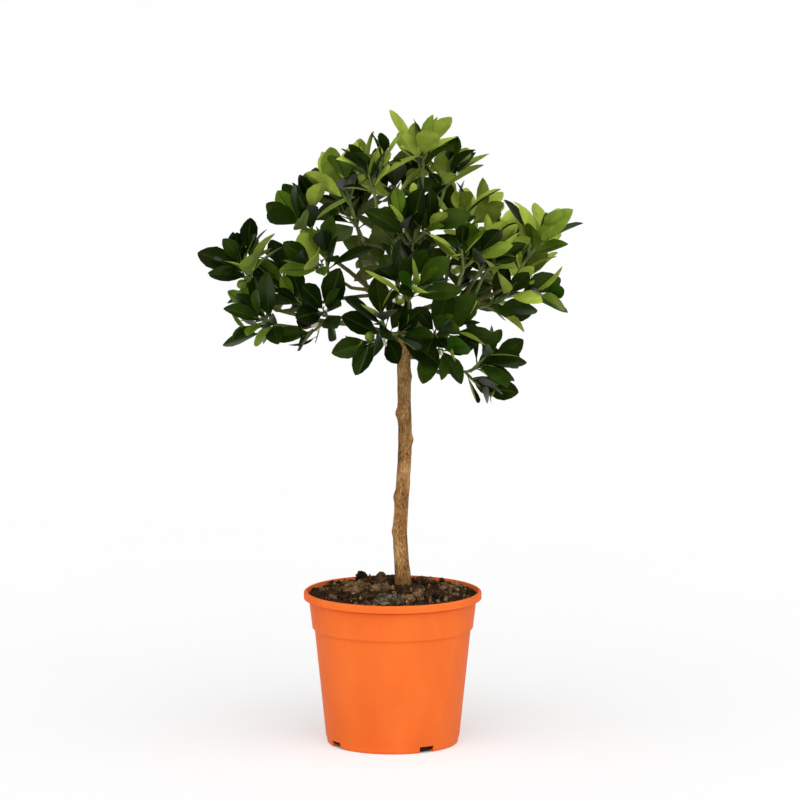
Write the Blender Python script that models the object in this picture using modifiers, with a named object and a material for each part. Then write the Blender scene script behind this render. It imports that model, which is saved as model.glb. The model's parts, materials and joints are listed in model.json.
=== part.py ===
"""Small citrus standard in a nursery pot: one clear stem, an open head of boughs and
leafy sprays, and the plastic pot of compost that it grows in.

Metres, +Z up. The origin is the middle of the pot's flat underside.
"""
import math
import random
from collections import namedtuple

import bmesh
import bpy
from mathutils import Matrix, Vector, noise
from mathutils.bvhtree import BVHTree
from mathutils.geometry import interpolate_bezier

MM = 0.001
UP = Vector((0, 0, 1))
MERGE = 0.00001          # welding distance for caps and poles
GAP = 0.3 * MM           # clearance between two pieces that touch

# Pot: a thin moulded tub that tapers, with a stepped lip, a stiffening band and a foot
POT_HEIGHT = 164 * MM
RIM_RADIUS = 95 * MM
LIP_HEIGHT = 8 * MM
BAND_TOP_RADIUS = 89.5 * MM
BAND_BASE_RADIUS = 86 * MM
BAND_BASE_HEIGHT = 124.5 * MM
BODY_TOP_RADIUS = 83.5 * MM
BODY_FOOT_RADIUS = 71.2 * MM
FOOT_RADIUS = 69.8 * MM
STEP = 1.2 * MM              # half the height of the step under the band
WALL = 1.6 * MM
FLOOR = 2.2 * MM
TURN_STEPS = 32
NOTCH_COUNT = 4
NOTCH_FIRST_BEARING = -59    # degrees from +X, the next ones a quarter turn on
NOTCH = Vector((26, 17, 6)) * MM
NOTCH_DEPTH = 13 * MM

# Compost
COMPOST_EDGE_HEIGHT = 157 * MM
COMPOST_LUMP = 2.6 * MM
SEAT_RADIUS = 14 * MM
SEAT_HEIGHT = 167.7 * MM

# Trunk: height over its flat foot, then the course of its middle in x and y, and its radius
TRUNK_FOOT = 168 * MM
Station = namedtuple("Station", "height x y radius")
TRUNK = (
    Station(0, 11.3, 6, 8.6),
    Station(28, 9.5, 5, 7.8),
    Station(57, 7.8, 4, 7.6),
    Station(90, 9.5, 3, 7.4),
    Station(137, 12.5, 2, 7.3),
    Station(168, 13.0, 1, 7.2),
    Station(205, 12.2, 0, 7.1),
    Station(245, 12.0, 0, 7.2),
    Station(275, 12.0, 0, 6.6),
    Station(300, 13.0, 0, 4.0),
)
FORK = Vector((12, 0, 445)) * MM
BOUGH_RADIUS = 3.6 * MM
BOUGH_SHARE = 0.8            # a bough is at most this much of its parent's thickness
BOUGH_TIP_RADIUS = 1.7 * MM
TRUNK_SIDES = 12
BOUGH_SIDES = 5
BOUGH_PACE = 16 * MM         # a bend in the limb about this often
BOUGH_WANDER = 1.1 * MM
BOUGH_FOLLOW = 0.35          # how far a bough sets out along its parent
BOUGH_AIM = 0.75             # and how far straight towards its mass
BOUGH_BEND = 0.33            # the share of its length that each end takes to bend
BOUGH_TAPER = 0.8

# Sprays: the place of each from the fork, where it leaves its parent, and how it grows.
# at is a height over the trunk's foot in millimetres, or a share of a parent bough's length.
Spray = namedtuple(
    "Spray", "name parent at bearing reach rise aim climb spread shoot leaves lift turn fruit seed drop"
)
SPRAYS = (
    Spray("top",            "trunk",        300,  19,  21, 171,  40, 88, 24, 22, 6, 0.45,  70, 0, 116,  10),
    Spray("far_left",       "trunk",        262, 178, 162,  52, 176, 52, 44, 26, 6, 0.35,  50, 1,  40,  20),
    Spray("left_upper",     "trunk",        278, 176,  98, 105, 172, 52, 40, 26, 6, 0.28,  10, 1,  92,  30),
    Spray("right",          "trunk",        274, 356, 132,  80, 350, 60, 34, 26, 6, 0.40,  20, 0,  59,  25),
    Spray("far_right",      "right",       0.55,   8, 122,  40,  10, 30, 46, 26, 5, 0.08,  60, 0, 197,  34),
    Spray("lower_right",    "trunk",        250, 348,  72, -43, 350,  4, 42, 26, 6, 0.00,  70, 0, 146,  32),
    Spray("top_right",      "top",         0.45,  29,  50, 148,  10, 72, 28, 22, 6, 0.42,  50, 0, 126,  10),
    Spray("upper_left",     "left_upper",  0.50, 188,  58, 138, 190, 74, 32, 26, 6, 0.42,  50, 0, 146,  30),
    Spray("left_low",       "far_left",    0.50, 198, 145,  11, 188,  8, 42, 26, 6, 0.00,  80, 0, 108,  26),
    Spray("upper_centre",   "top",         0.30, 234,  54, 153, 235, 74, 32, 26, 6, 0.42,  50, 0, 135,  30),
    Spray("heart",          "top",         0.15, 284,  46, 100, 290, 60, 36, 26, 6, 0.30,  10, 0,  33,  40),
    Spray("front",          "trunk",        270, 273,  98,  46, 270, 62, 36, 26, 6, 0.30,   0, 1,  72,  40),
    Spray("front_right",    "trunk",        258, 312,  94,  74, 318, 66, 34, 26, 6, 0.38,  10, 1, 105,  30),
    Spray("right_mid",      "right",       0.45, 338,  91,  63, 340, 66, 34, 26, 6, 0.38,  80, 0,  64,  30),
    Spray("right_low",      "lower_right", 0.45,   2,  92,  26,   0, 14, 42, 26, 6, 0.03, 100, 0,  24,  26),
    Spray("left_mid",       "left_upper",  0.40, 202,  86,  65, 200, 35, 38, 22, 4, 0.15,  10, 0,  27,  20),
    Spray("left_inner",     "far_left",    0.40, 214, 100,  21, 215,  8, 42, 26, 6, 0.00,  90, 0, 104,  34),
    Spray("front_low",      "front",       0.40, 258,  84,   6, 255, 10, 42, 26, 6, 0.00,  50, 1, 145,  44),
    Spray("right_front",    "front_right", 0.40, 296,  70,   0, 310,  4, 36, 26, 6, 0.00,  90, 0,  18,  50),
    Spray("back_right",     "trunk",        284,  48, 126,  56,  45, 48, 40, 26, 7, 0.22,  90, 0, 191,  34),
    Spray("back_top",       "top",         0.40,  97,  59, 132,  90, 65, 36, 26, 7, 0.30,  50, 0,  71,  40),
    Spray("back",           "trunk",        262,  94, 134,  54,  95, 44, 40, 26, 7, 0.18,  10, 1, 177,  34),
    Spray("back_left",      "trunk",        270, 119, 104, 101, 136, 58, 40, 26, 7, 0.24,  60, 0, 105,  24),
    Spray("back_low_left",  "back_left",   0.40, 156, 137,  36, 146, 16, 48, 26, 6, 0.00,  50, 0,   7,  30),
    Spray("back_low_right", "back",        0.40,  62, 114,  24,  60,  8, 42, 26, 6, 0.00,  50, 0, 164,  28),
    Spray("right_top_back", "back_right",  0.50,  38,  76, 100,  35, 62, 36, 26, 6, 0.32,  70, 0, 194,  40),
)

# Twigs
SHOOTS = 3
SHOOT_TRIES = 8
SHOOT_SWAY = 12              # degrees that a shoot is turned by chance, at its first try
SHOOT_SWAY_LATER = 50        # and at the next ones
STEM_LENGTH = 20 * MM
STEM_RADIUS = 1.5 * MM
SHOOT_RADII = (1.2 * MM, 1.2 * MM, 0.8 * MM)
FRUIT_RADIUS = 5.2 * MM
STALK_RADIUS = 0.9 * MM

# Leaves
LEAF_LENGTH = 49 * MM
LEAF_ASPECT = 0.45
LEAF_THICKNESS = 1.2 * MM
PETIOLE = 0.12               # share of the leaf that is stalk
LEAF_ROOT = 1.2 * MM         # how far down the twig's middle the leaf's root is sunk
SPRAY_RADIUS = 72 * MM
CLEARANCE = 0.45 * MM
LEAF_TRIES = 14
LEAF_SPLAY = 66              # degrees between the lowest leaf of a shoot and the shoot
LEAF_CLOSING = 44            # degrees less than that at the shoot's tip
FIRST_LEAF = 0.2             # share of a shoot below its first leaf
GOLDEN_TURN = math.radians(137.508)
LeafKind = namedtuple("LeafKind", "fold arch width")
LEAF_KINDS = (
    LeafKind(12, 18, 1.0),
    LeafKind(20, 10, 0.92),
    LeafKind(7, 30, 1.08),
    LeafKind(26, 22, 0.8),
    LeafKind(15, -6, 1.0),
)


def polar(bearing, reach, rise):
    """A place in millimetres given by bearing, level reach and rise, as a vector in metres."""
    angle = math.radians(bearing)
    return Vector((math.cos(angle) * reach, math.sin(angle) * reach, rise)) * MM


def heading(bearing, climb):
    """A unit vector that points along a bearing and climbs by an angle."""
    angle = math.radians(bearing)
    slope = math.radians(climb)
    return Vector((math.cos(angle) * math.cos(slope), math.sin(angle) * math.cos(slope), math.sin(slope)))


def across(direction):
    """A unit vector square to a direction."""
    other = Vector((1, 0, 0)) if abs(direction.z) > 0.9 else UP
    return direction.cross(other).normalized()


def along(points, share):
    """The place and the direction at a share of the length of a course."""
    lengths = [0]
    for start, end in zip(points, points[1:]):
        lengths.append(lengths[-1] + (end - start).length)
    wanted = share * lengths[-1]
    for i in range(len(points) - 1):
        if lengths[i + 1] >= wanted:
            part = (wanted - lengths[i]) / (lengths[i + 1] - lengths[i])
            return points[i].lerp(points[i + 1], part), (points[i + 1] - points[i]).normalized()
    return points[-1], (points[-1] - points[-2]).normalized()


def tube_shape(points, radii, sides):
    """The corners and faces of a closed tube, used to keep pieces clear of each other."""
    corners = []
    faces = []
    side = None
    last = len(points) - 1
    for i, (point, radius) in enumerate(zip(points, radii)):
        axis = (points[min(i + 1, last)] - points[max(i - 1, 0)]).normalized()
        side = across(axis) if side is None else (side - axis * side.dot(axis)).normalized()
        other = axis.cross(side)
        for k in range(sides):
            turn = 2 * math.pi * k / sides
            corners.append(point + (side * math.cos(turn) + other * math.sin(turn)) * radius)
    for i in range(last):
        for k in range(sides):
            j = (k + 1) % sides
            faces.append((i * sides + k, i * sides + j, (i + 1) * sides + j, (i + 1) * sides + k))
    faces.append(tuple(range(sides))[::-1])
    faces.append(tuple(range(last * sides, (last + 1) * sides)))
    return corners, faces


class Space:
    """The room that one piece takes, which later pieces keep out of."""

    def __init__(self, shape, owner, kind):
        corners, faces = shape
        self.tree = BVHTree.FromPolygons([corner[:] for corner in corners], faces)
        self.middle = sum(corners, Vector()) / len(corners)
        self.radius = max((corner - self.middle).length for corner in corners)
        self.owner = owner
        self.kind = kind

    def meets(self, other):
        if (self.middle - other.middle).length > self.radius + other.radius:
            return False
        return bool(self.tree.overlap(other.tree))


def half_width(share):
    """Half the width of a leaf at a share of its length, where the widest is 1: stalk, then blade."""
    blade = max(0.0, (share - PETIOLE) / (1 - PETIOLE))
    if blade >= 1:
        return 0.0
    return max(0.03, (4 * blade * (1 - blade)) ** 0.62 * (0.9 + 0.2 * blade))


class Leaf:
    """One leaf: its root on a twig's middle, the way it points and faces, and its fold and arch."""

    def __init__(self, root, sunk, direction, facing, length, width, kind):
        self.root = root
        self.sunk = sunk
        self.length = length
        self.width = width
        self.direction = direction.normalized()
        self.facing = (facing - self.direction * facing.dot(self.direction)).normalized()
        self.side = self.facing.cross(self.direction)
        self.fold = math.tan(math.radians(LEAF_KINDS[kind].fold))
        self.arch = math.radians(LEAF_KINDS[kind].arch)

    def point(self, share, across_share, lift=0.0):
        """A point of the leaf: share runs from root to tip, across_share from -1 to 1 between edges."""
        turn = self.arch * share if share else 1e-6
        forward = self.length * math.sin(turn) / self.arch
        sideways = half_width(share) * self.width / 2 * across_share
        height = abs(sideways) * self.fold + lift - self.length * (1 - math.cos(turn)) / self.arch
        return self.root + self.direction * forward + self.facing * height + self.side * sideways


# A leaf's solid has its corners at these shares of its length, between root and tip
LEAF_STATIONS = (0.42, 0.76)


def leaf_shape(leaf, start, margin):
    """The corners and faces of a leaf from a share of its length on, thickened by a margin."""
    corners = [leaf.point(start, 0)]
    for share in LEAF_STATIONS:
        edge = 1 + margin / (half_width(share) * leaf.width / 2)
        corners.append(leaf.point(share, edge, margin))
        corners.append(leaf.point(share, -edge, margin))
        corners.append(leaf.point(share, 0, -LEAF_THICKNESS / 2 - margin))
    corners.append(leaf.point(1, 0) + leaf.direction * margin)
    faces = []
    for k in range(3):
        j = (k + 1) % 3
        faces += [(0, 1 + k, 1 + j), (1 + k, 4 + k, 4 + j, 1 + j), (4 + k, 7, 4 + j)]
    return corners, faces


class Mass:
    """A spray and all that grows in it."""

    def __init__(self, spray):
        self.spray = spray
        self.chance = random.Random(spray.seed)
        self.hub = FORK + polar(spray.bearing, spray.reach, spray.rise)
        self.heading = heading(spray.aim, spray.climb)
        self.start = self.hub - self.heading * STEM_LENGTH
        self.stem = [self.start + self.heading * GAP, self.hub - self.heading * 6 * MM, self.hub]
        self.twigs = []
        self.leaves = []
        self.fruit = None


def trunk_course():
    points = [Vector((s.x * MM, s.y * MM, TRUNK_FOOT + s.height * MM)) for s in TRUNK]
    return points, [s.radius * MM for s in TRUNK]


def grow_bough(mass, limbs):
    """The course and radii of the limb that carries a mass, from the middle of its parent."""
    spray = mass.spray
    chance = mass.chance
    parent = limbs[spray.parent][0]
    share = spray.at
    if spray.parent == "trunk":
        share = spray.at * MM / (parent[-1].z - parent[0].z)
    start, tangent = along(parent, share)
    if share > 0.999:
        start = start + tangent * GAP
    reach = mass.start - start
    lead = (tangent * BOUGH_FOLLOW + reach.normalized() * BOUGH_AIM).normalized()
    lead *= reach.length * BOUGH_BEND
    follow = mass.heading * reach.length * BOUGH_BEND
    count = max(5, int(reach.length / BOUGH_PACE))
    points = interpolate_bezier(start, start + lead, mass.start - follow, mass.start, count)
    points[-2] = mass.start - mass.heading * (points[-1] - points[-2]).length
    side = across(reach.normalized())
    for point in points[1:-2]:
        wander = side * chance.uniform(-1, 1) + UP * chance.uniform(-1, 1)
        point += wander * BOUGH_WANDER
    if share > 0.999:
        points[1] = start + tangent * (points[1] - start).length
    parent_radii = limbs[spray.parent][1]
    place = share * (len(parent_radii) - 1)
    k = min(int(place), len(parent_radii) - 2)
    parent_radius = parent_radii[k] + (parent_radii[k + 1] - parent_radii[k]) * (place - k)
    thick = min(BOUGH_RADIUS, parent_radius * BOUGH_SHARE)
    thinning = [(i / (count - 1)) ** BOUGH_TAPER for i in range(count)]
    radii = [thick + (BOUGH_TIP_RADIUS - thick) * thinner for thinner in thinning]
    return points, radii


def grow_shoots(mass, spaces):
    """Fans the shoots of a mass about its heading, each turned until it is clear."""
    spray = mass.spray
    chance = mass.chance
    side = across(mass.heading)
    other = mass.heading.cross(side)
    for k in range(SHOOTS):
        for attempt in range(SHOOT_TRIES):
            sway = SHOOT_SWAY if attempt == 0 else SHOOT_SWAY_LATER
            turn = math.radians(spray.turn + 360 * k / SHOOTS + chance.uniform(-sway, sway))
            spread = math.radians(spray.spread * chance.uniform(0.75, 1.15))
            fan = side * math.cos(turn) + other * math.sin(turn)
            way = mass.heading * math.cos(spread) + fan * math.sin(spread)
            way = (way + UP * spray.lift * 0.5).normalized()
            length = spray.shoot * MM * chance.uniform(0.8, 1.2)
            base = mass.stem[1].lerp(mass.stem[2], k / (SHOOTS - 1))
            middle = base + way * length * 0.5 + UP * chance.uniform(-0.3, 0.6) * MM
            end = base + (way + UP * spray.lift * 0.35).normalized() * length
            twig = [base, middle, end]
            margins = [radius + CLEARANCE for radius in SHOOT_RADII]
            space = Space(tube_shape(twig, margins, 3), spray.name, "twig")
            if not any(o.owner != spray.name and o.meets(space) for o in spaces):
                mass.twigs.append(twig)
                spaces.append(space)
                break


def set_fruit(mass, spaces):
    """Hangs one fruit on the outer side of the first shoot."""
    out = (heading(mass.spray.bearing, 0) + UP * 0.25).normalized()
    base, middle, _ = mass.twigs[0]
    mass.fruit_root = base.lerp(middle, 0.4)
    mass.fruit = mass.fruit_root + out * FRUIT_RADIUS * 1.5
    levels = [mass.fruit + UP * FRUIT_RADIUS * k for k in (-1, -0.6, 0.6, 1)]
    radii = [FRUIT_RADIUS * k for k in (0.5, 1.05, 1.05, 0.5)]
    spaces.append(Space(tube_shape(levels, radii, 6), mass.spray.name, "fruit"))


def try_leaf(mass, twig, place, number, phase, attempt):
    """One leaf by the rule: a golden turn on from the last, more upright towards the shoot's tip."""
    spray = mass.spray
    chance = mass.chance
    loose = 1 if attempt == 0 else 1 + attempt * 0.12
    share = min(1.0, max(0.12, place + chance.uniform(-0.08, 0.08) * loose))
    base, axis = along(twig, share)
    turn = phase + number * GOLDEN_TURN + chance.uniform(-0.3, 0.3) * loose
    radial = Matrix.Rotation(turn, 3, axis) @ across(axis)
    splay = math.radians(LEAF_SPLAY - LEAF_CLOSING * place + chance.uniform(-10, 10) * loose)
    way = axis * math.cos(splay) + radial * math.sin(splay)
    way = (way + UP * spray.lift * (1.2 if way.z < 0.3 else 0.6)).normalized()
    shorter = 0.24 * place if number == spray.leaves - 1 else 0
    length = LEAF_LENGTH * (1.06 - shorter) * chance.uniform(0.84, 1.12) * 0.97 ** attempt
    kind = chance.choice((0, 0, 1, 2, 3, 4))
    width = length * LEAF_ASPECT * LEAF_KINDS[kind].width * chance.uniform(0.92, 1.08)
    skyward = 0.9 if spray.lift <= 0.1 else 0.35
    facing = (axis - way * axis.dot(way)).normalized() + (UP - way * UP.dot(way)) * skyward
    facing += way.cross(facing).normalized() * chance.uniform(-0.45, 0.45)
    return Leaf(base, base - axis * LEAF_ROOT, way, facing, length, width, kind)


def fits(leaf, mass, spaces):
    """True where the leaf stays in its mass's space and touches nothing but its own twig."""
    name = mass.spray.name
    tip = leaf.point(1, 0)
    lowest = min(leaf.point(0.6, 1).z, leaf.point(0.6, -1).z, tip.z)
    if (tip - mass.hub).length > SPRAY_RADIUS or lowest < mass.hub.z - mass.spray.drop * MM:
        return False
    whole = Space(leaf_shape(leaf, 0.02, CLEARANCE), name, "leaf")
    blade = Space(leaf_shape(leaf, 0.16, CLEARANCE * 0.5), name, "leaf")
    for other in spaces:
        own = other.owner == name and other.kind in ("leaf", "twig")
        if other.meets(blade if own else whole):
            return False
    return True


def grow_leaves(mass, spaces):
    chance = mass.chance
    plan = []
    for twig in mass.twigs:
        phase = chance.uniform(0, 2 * math.pi)
        for number in range(mass.spray.leaves):
            plan.append((twig, number, phase))
    for twig, number, phase in plan:
        place = FIRST_LEAF + (1 - FIRST_LEAF) * number / (mass.spray.leaves - 1)
        for attempt in range(LEAF_TRIES):
            leaf = try_leaf(mass, twig, place, number, phase, attempt)
            if fits(leaf, mass, spaces):
                mass.leaves.append(leaf)
                spaces.append(Space(leaf_shape(leaf, 0.02, 0), mass.spray.name, "leaf"))
                break


def grow_crown():
    """All limbs and masses. Limbs come first, then twigs, fruit and leaves, which keep clear of them."""
    limbs = {"trunk": trunk_course()}
    spaces = [Space(tube_shape(*limbs["trunk"], 8), "trunk", "limb")]
    masses = [Mass(spray) for spray in SPRAYS]
    for mass in masses:
        points, radii = grow_bough(mass, limbs)
        limbs[mass.spray.name] = (points, radii)
        clear_course = [points[0].lerp(points[1], 0.5)] + points[1:]
        shape = tube_shape(clear_course, [radius + GAP for radius in radii], 6)
        spaces.append(Space(shape, mass.spray.name, "limb"))
    for mass in masses:
        shape = tube_shape(mass.stem, [STEM_RADIUS + CLEARANCE] * 3, 3)
        spaces.append(Space(shape, mass.spray.name, "twig"))
    for mass in masses:
        grow_shoots(mass, spaces)
    for mass in masses:
        if mass.spray.fruit:
            set_fruit(mass, spaces)
    for mass in masses:
        grow_leaves(mass, spaces)
    return limbs, masses


# ---------------------------------------------------------------- making the solids


def clear_scene():
    for item in list(bpy.data.objects):
        bpy.data.objects.remove(item, do_unlink=True)


def make_collection(name):
    collection = bpy.data.collections.new(name)
    bpy.context.scene.collection.children.link(collection)
    return collection


def make_material(name, colour, roughness, specular=0.5):
    material = bpy.data.materials.new(name)
    material.use_nodes = True
    shader = material.node_tree.nodes["Principled BSDF"]
    shader.inputs["Base Color"].default_value = (*colour, 1)
    shader.inputs["Roughness"].default_value = roughness
    shader.inputs["Metallic"].default_value = 0
    shader.inputs["Specular IOR Level"].default_value = specular
    material.diffuse_color = (*colour, 1)
    return material


def make_object(name, mesh, collection, material):
    item = bpy.data.objects.new(name, mesh)
    collection.objects.link(item)
    if material:
        item.data.materials.append(material)
    return item


def weld(mesh):
    """Joins doubled corners and turns every face outwards."""
    bm = bmesh.new()
    bm.from_mesh(mesh)
    bmesh.ops.remove_doubles(bm, verts=bm.verts, dist=MERGE)
    bmesh.ops.recalc_face_normals(bm, faces=bm.faces)
    bm.to_mesh(mesh)
    bm.free()


def evaluated_mesh(item):
    graph = bpy.context.evaluated_depsgraph_get()
    return bpy.data.meshes.new_from_object(item.evaluated_get(graph))


def shade(item, degrees):
    item.data.shade_smooth()
    item.data.set_sharp_from_angle(angle=math.radians(degrees))


def turned(name, profile, collection):
    """A profile of radius and height pairs turned about the Z axis, down its outer side."""
    mesh = bpy.data.meshes.new(name)
    corners = [(radius, 0, height) for radius, height in profile]
    mesh.from_pydata(corners, [(i, i + 1) for i in range(len(corners) - 1)], [])
    item = make_object(name, mesh, collection, None)
    screw = item.modifiers.new("turn", "SCREW")
    screw.axis = "Z"
    screw.steps = TURN_STEPS
    screw.render_steps = TURN_STEPS
    screw.use_merge_vertices = True
    screw.merge_threshold = MERGE
    item.data = evaluated_mesh(item)
    item.modifiers.remove(screw)
    weld(item.data)
    return item


def tube(name, points, radii, sides, collection):
    """A tapering limb with flat ends: a curve with a many-sided section, made a mesh."""
    section = bpy.data.curves.new("section", "CURVE")
    outline = section.splines.new("POLY")
    outline.points.add(sides - 1)
    outline.use_cyclic_u = True
    for k, point in enumerate(outline.points):
        turn = 2 * math.pi * k / sides
        point.co = (math.cos(turn), math.sin(turn), 0, 1)
    section_object = make_object("section", section, collection, None)
    curve = bpy.data.curves.new(name, "CURVE")
    curve.dimensions = "3D"
    curve.twist_mode = "MINIMUM"
    curve.bevel_mode = "OBJECT"
    curve.bevel_object = section_object
    curve.use_fill_caps = True
    spline = curve.splines.new("POLY")
    spline.points.add(len(points) - 1)
    for point, place, radius in zip(spline.points, points, radii):
        point.co = (*place, 1)
        point.radius = radius
    guide = make_object("guide", curve, collection, None)
    mesh = evaluated_mesh(guide)
    bpy.data.objects.remove(guide)
    bpy.data.objects.remove(section_object)
    weld(mesh)
    return make_object(name, mesh, collection, None)


def as_cutter(item):
    item.hide_render = True
    item.display_type = "WIRE"
    return item


def cut(item, cutter):
    boolean = item.modifiers.new("cut", "BOOLEAN")
    boolean.operation = "DIFFERENCE"
    boolean.object = cutter


def join(item, collection):
    """Fuses everything in a collection into an object, then removes the collection's objects."""
    boolean = item.modifiers.new("join", "BOOLEAN")
    boolean.operation = "UNION"
    boolean.operand_type = "COLLECTION"
    boolean.collection = collection
    item.data = evaluated_mesh(item)
    item.modifiers.remove(boolean)
    for other in list(collection.objects):
        bpy.data.objects.remove(other)


def inner_wall(height):
    """The pot's inner radius at a height up the body or the band."""
    if height < BAND_BASE_HEIGHT:
        outer = BODY_FOOT_RADIUS + (BODY_TOP_RADIUS - BODY_FOOT_RADIUS) * height / BAND_BASE_HEIGHT
    else:
        rise = (height - BAND_BASE_HEIGHT) / (POT_HEIGHT - LIP_HEIGHT - BAND_BASE_HEIGHT)
        outer = BAND_BASE_RADIUS + (BAND_TOP_RADIUS - BAND_BASE_RADIUS) * rise
    return outer - WALL


def make_pot(parts, cutters, material):
    edge = 0.8 * MM
    lip_base = POT_HEIGHT - LIP_HEIGHT
    inside = [
        (0, FLOOR),
        (inner_wall(FLOOR), FLOOR),
        (inner_wall(BAND_BASE_HEIGHT - STEP), BAND_BASE_HEIGHT - STEP),
        (inner_wall(BAND_BASE_HEIGHT + STEP), BAND_BASE_HEIGHT + STEP),
        (inner_wall(lip_base), lip_base + WALL),
        (RIM_RADIUS - WALL, lip_base + WALL + edge),
        (RIM_RADIUS - WALL, POT_HEIGHT),
    ]
    outside = [
        (RIM_RADIUS - edge / 2, POT_HEIGHT),
        (RIM_RADIUS, POT_HEIGHT - edge),
        (RIM_RADIUS, lip_base),
        (BAND_TOP_RADIUS, lip_base - edge / 4),
        (BAND_BASE_RADIUS, BAND_BASE_HEIGHT),
        (BODY_TOP_RADIUS, BAND_BASE_HEIGHT - STEP),
        (BODY_FOOT_RADIUS, 4 * MM),
        (FOOT_RADIUS - edge, 0),
        (0, 0),
    ]
    pot = turned("pot", inside + outside, parts)
    pot.data.materials.append(material)
    for k in range(NOTCH_COUNT):
        bearing = math.radians(NOTCH_FIRST_BEARING + 360 / NOTCH_COUNT * k)
        middle = FOOT_RADIUS - NOTCH_DEPTH + NOTCH.x / 2
        bpy.ops.mesh.primitive_cube_add(size=1)
        box = bpy.context.object
        box.name = f"notch_{k + 1}"
        turn = Matrix.Rotation(bearing, 4, "Z")
        sized = Matrix.Diagonal((NOTCH.x, NOTCH.y, NOTCH.z * 2, 1))
        box.data.transform(turn @ Matrix.Translation((middle, 0, 0)) @ sized)
        for collection in list(box.users_collection):
            collection.objects.unlink(box)
        cutters.objects.link(box)
        cut(pot, as_cutter(box))
    shade(pot, 35)


def compost_height(x, y):
    """The height of the compost: a low mound that is lumpy, with a flat seat under the trunk."""
    reach = min(1.0, math.hypot(x, y) / inner_wall(COMPOST_EDGE_HEIGHT))
    mound = COMPOST_EDGE_HEIGHT + (SEAT_HEIGHT - COMPOST_EDGE_HEIGHT) * (1 - reach ** 2) ** 0.7
    lump = noise.noise(Vector((x, y, 0)) / (14 * MM)) * COMPOST_LUMP
    foot = TRUNK[0]
    away = math.hypot(x - foot.x * MM, y - foot.y * MM)
    blend = min(1.0, max(0.0, (away - SEAT_RADIUS) / (12 * MM)))
    loose = min(SEAT_HEIGHT, mound + lump * min(1.0, (1 - reach) * 6))
    return SEAT_HEIGHT + (loose - SEAT_HEIGHT) * blend


def make_compost(parts, material):
    play = 0.5 * MM
    rings = [9, 20, 33, 48, 64, 78]
    edge = inner_wall(COMPOST_EDGE_HEIGHT) - play
    low = FLOOR + GAP
    profile = [(0, SEAT_HEIGHT)]
    profile += [(radius * MM, SEAT_HEIGHT) for radius in rings]
    profile += [
        (edge, COMPOST_EDGE_HEIGHT),
        (inner_wall(BAND_BASE_HEIGHT + STEP) - play, BAND_BASE_HEIGHT + STEP + GAP),
        (inner_wall(BAND_BASE_HEIGHT - STEP) - play, BAND_BASE_HEIGHT - STEP + GAP),
        (inner_wall(low) - play, low),
        (0, low),
    ]
    compost = turned("compost", profile, parts)
    for corner in compost.data.vertices:
        if corner.co.z > COMPOST_EDGE_HEIGHT + MM:
            corner.co.z = compost_height(corner.co.x, corner.co.y)
    compost.data.materials.append(material)
    shade(compost, 50)


def make_limbs(limbs, parts, cutters, material):
    """The trunk, and each bough with its root cut to the shape of its parent, a gap clear."""
    trunk = tube("trunk", *limbs["trunk"], TRUNK_SIDES, parts)
    for corner in trunk.data.vertices:
        if corner.co.z < TRUNK_FOOT + MM:
            corner.co.z = TRUNK_FOOT
    trunk.data.materials.append(material)
    shade(trunk, 50)
    parents = {}
    for spray in SPRAYS:
        if spray.parent not in parents:
            points, radii = limbs[spray.parent]
            sides = TRUNK_SIDES if spray.parent == "trunk" else BOUGH_SIDES
            grown = [radius + GAP / math.cos(math.pi / sides) for radius in radii]
            parents[spray.parent] = as_cutter(tube(f"cut_{spray.parent}", points, grown, sides, cutters))
        bough = tube(f"bough_{spray.name}", *limbs[spray.name], BOUGH_SIDES, parts)
        bough.data.materials.append(material)
        shade(bough, 60)
        cut(bough, parents[spray.parent])


def make_leaf(leaf, collection):
    """A sphere of twelve faces drawn out into a leaf: two edges and a keel, its root in the twig."""
    mesh = bpy.data.meshes.new("leaf")
    bm = bmesh.new()
    bmesh.ops.create_uvsphere(bm, u_segments=3, v_segments=3, radius=1)
    places = {2: 0, 1: LEAF_STATIONS[0], -1: LEAF_STATIONS[1], -2: 1}
    for corner in bm.verts:
        share = places[round(corner.co.z * 2)]
        side = round(corner.co.x / 0.75)
        keel = 0 if side else -LEAF_THICKNESS / 2
        if share == 1:
            keel = 0
        corner.co = leaf.point(share, side, keel) if share else leaf.sunk
    bmesh.ops.recalc_face_normals(bm, faces=bm.faces)
    bm.to_mesh(mesh)
    bm.free()
    make_object("leaf", mesh, collection, None)


def make_fruit(mass, collection):
    mesh = bpy.data.meshes.new("fruit")
    bm = bmesh.new()
    bmesh.ops.create_uvsphere(bm, u_segments=7, v_segments=4, radius=FRUIT_RADIUS)
    bmesh.ops.translate(bm, verts=bm.verts, vec=mass.fruit)
    bm.to_mesh(mesh)
    bm.free()
    make_object("fruit", mesh, collection, None)
    tube("stalk", [mass.fruit_root, mass.fruit], [STALK_RADIUS] * 2, 3, collection)


def make_mass(mass, parts, growing, material):
    """One mass as one solid: its stem, with the shoots, leaves and fruit fused on."""
    radii = [STEM_RADIUS, STEM_RADIUS * 0.9, STEM_RADIUS * 0.8]
    solid = tube(f"leaves_{mass.spray.name}", mass.stem, radii, 3, parts)
    for twig in mass.twigs:
        tube("shoot", twig, SHOOT_RADII, 3, growing)
    for leaf in mass.leaves:
        make_leaf(leaf, growing)
    if mass.fruit:
        make_fruit(mass, growing)
    join(solid, growing)
    solid.data.materials.append(material)


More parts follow.
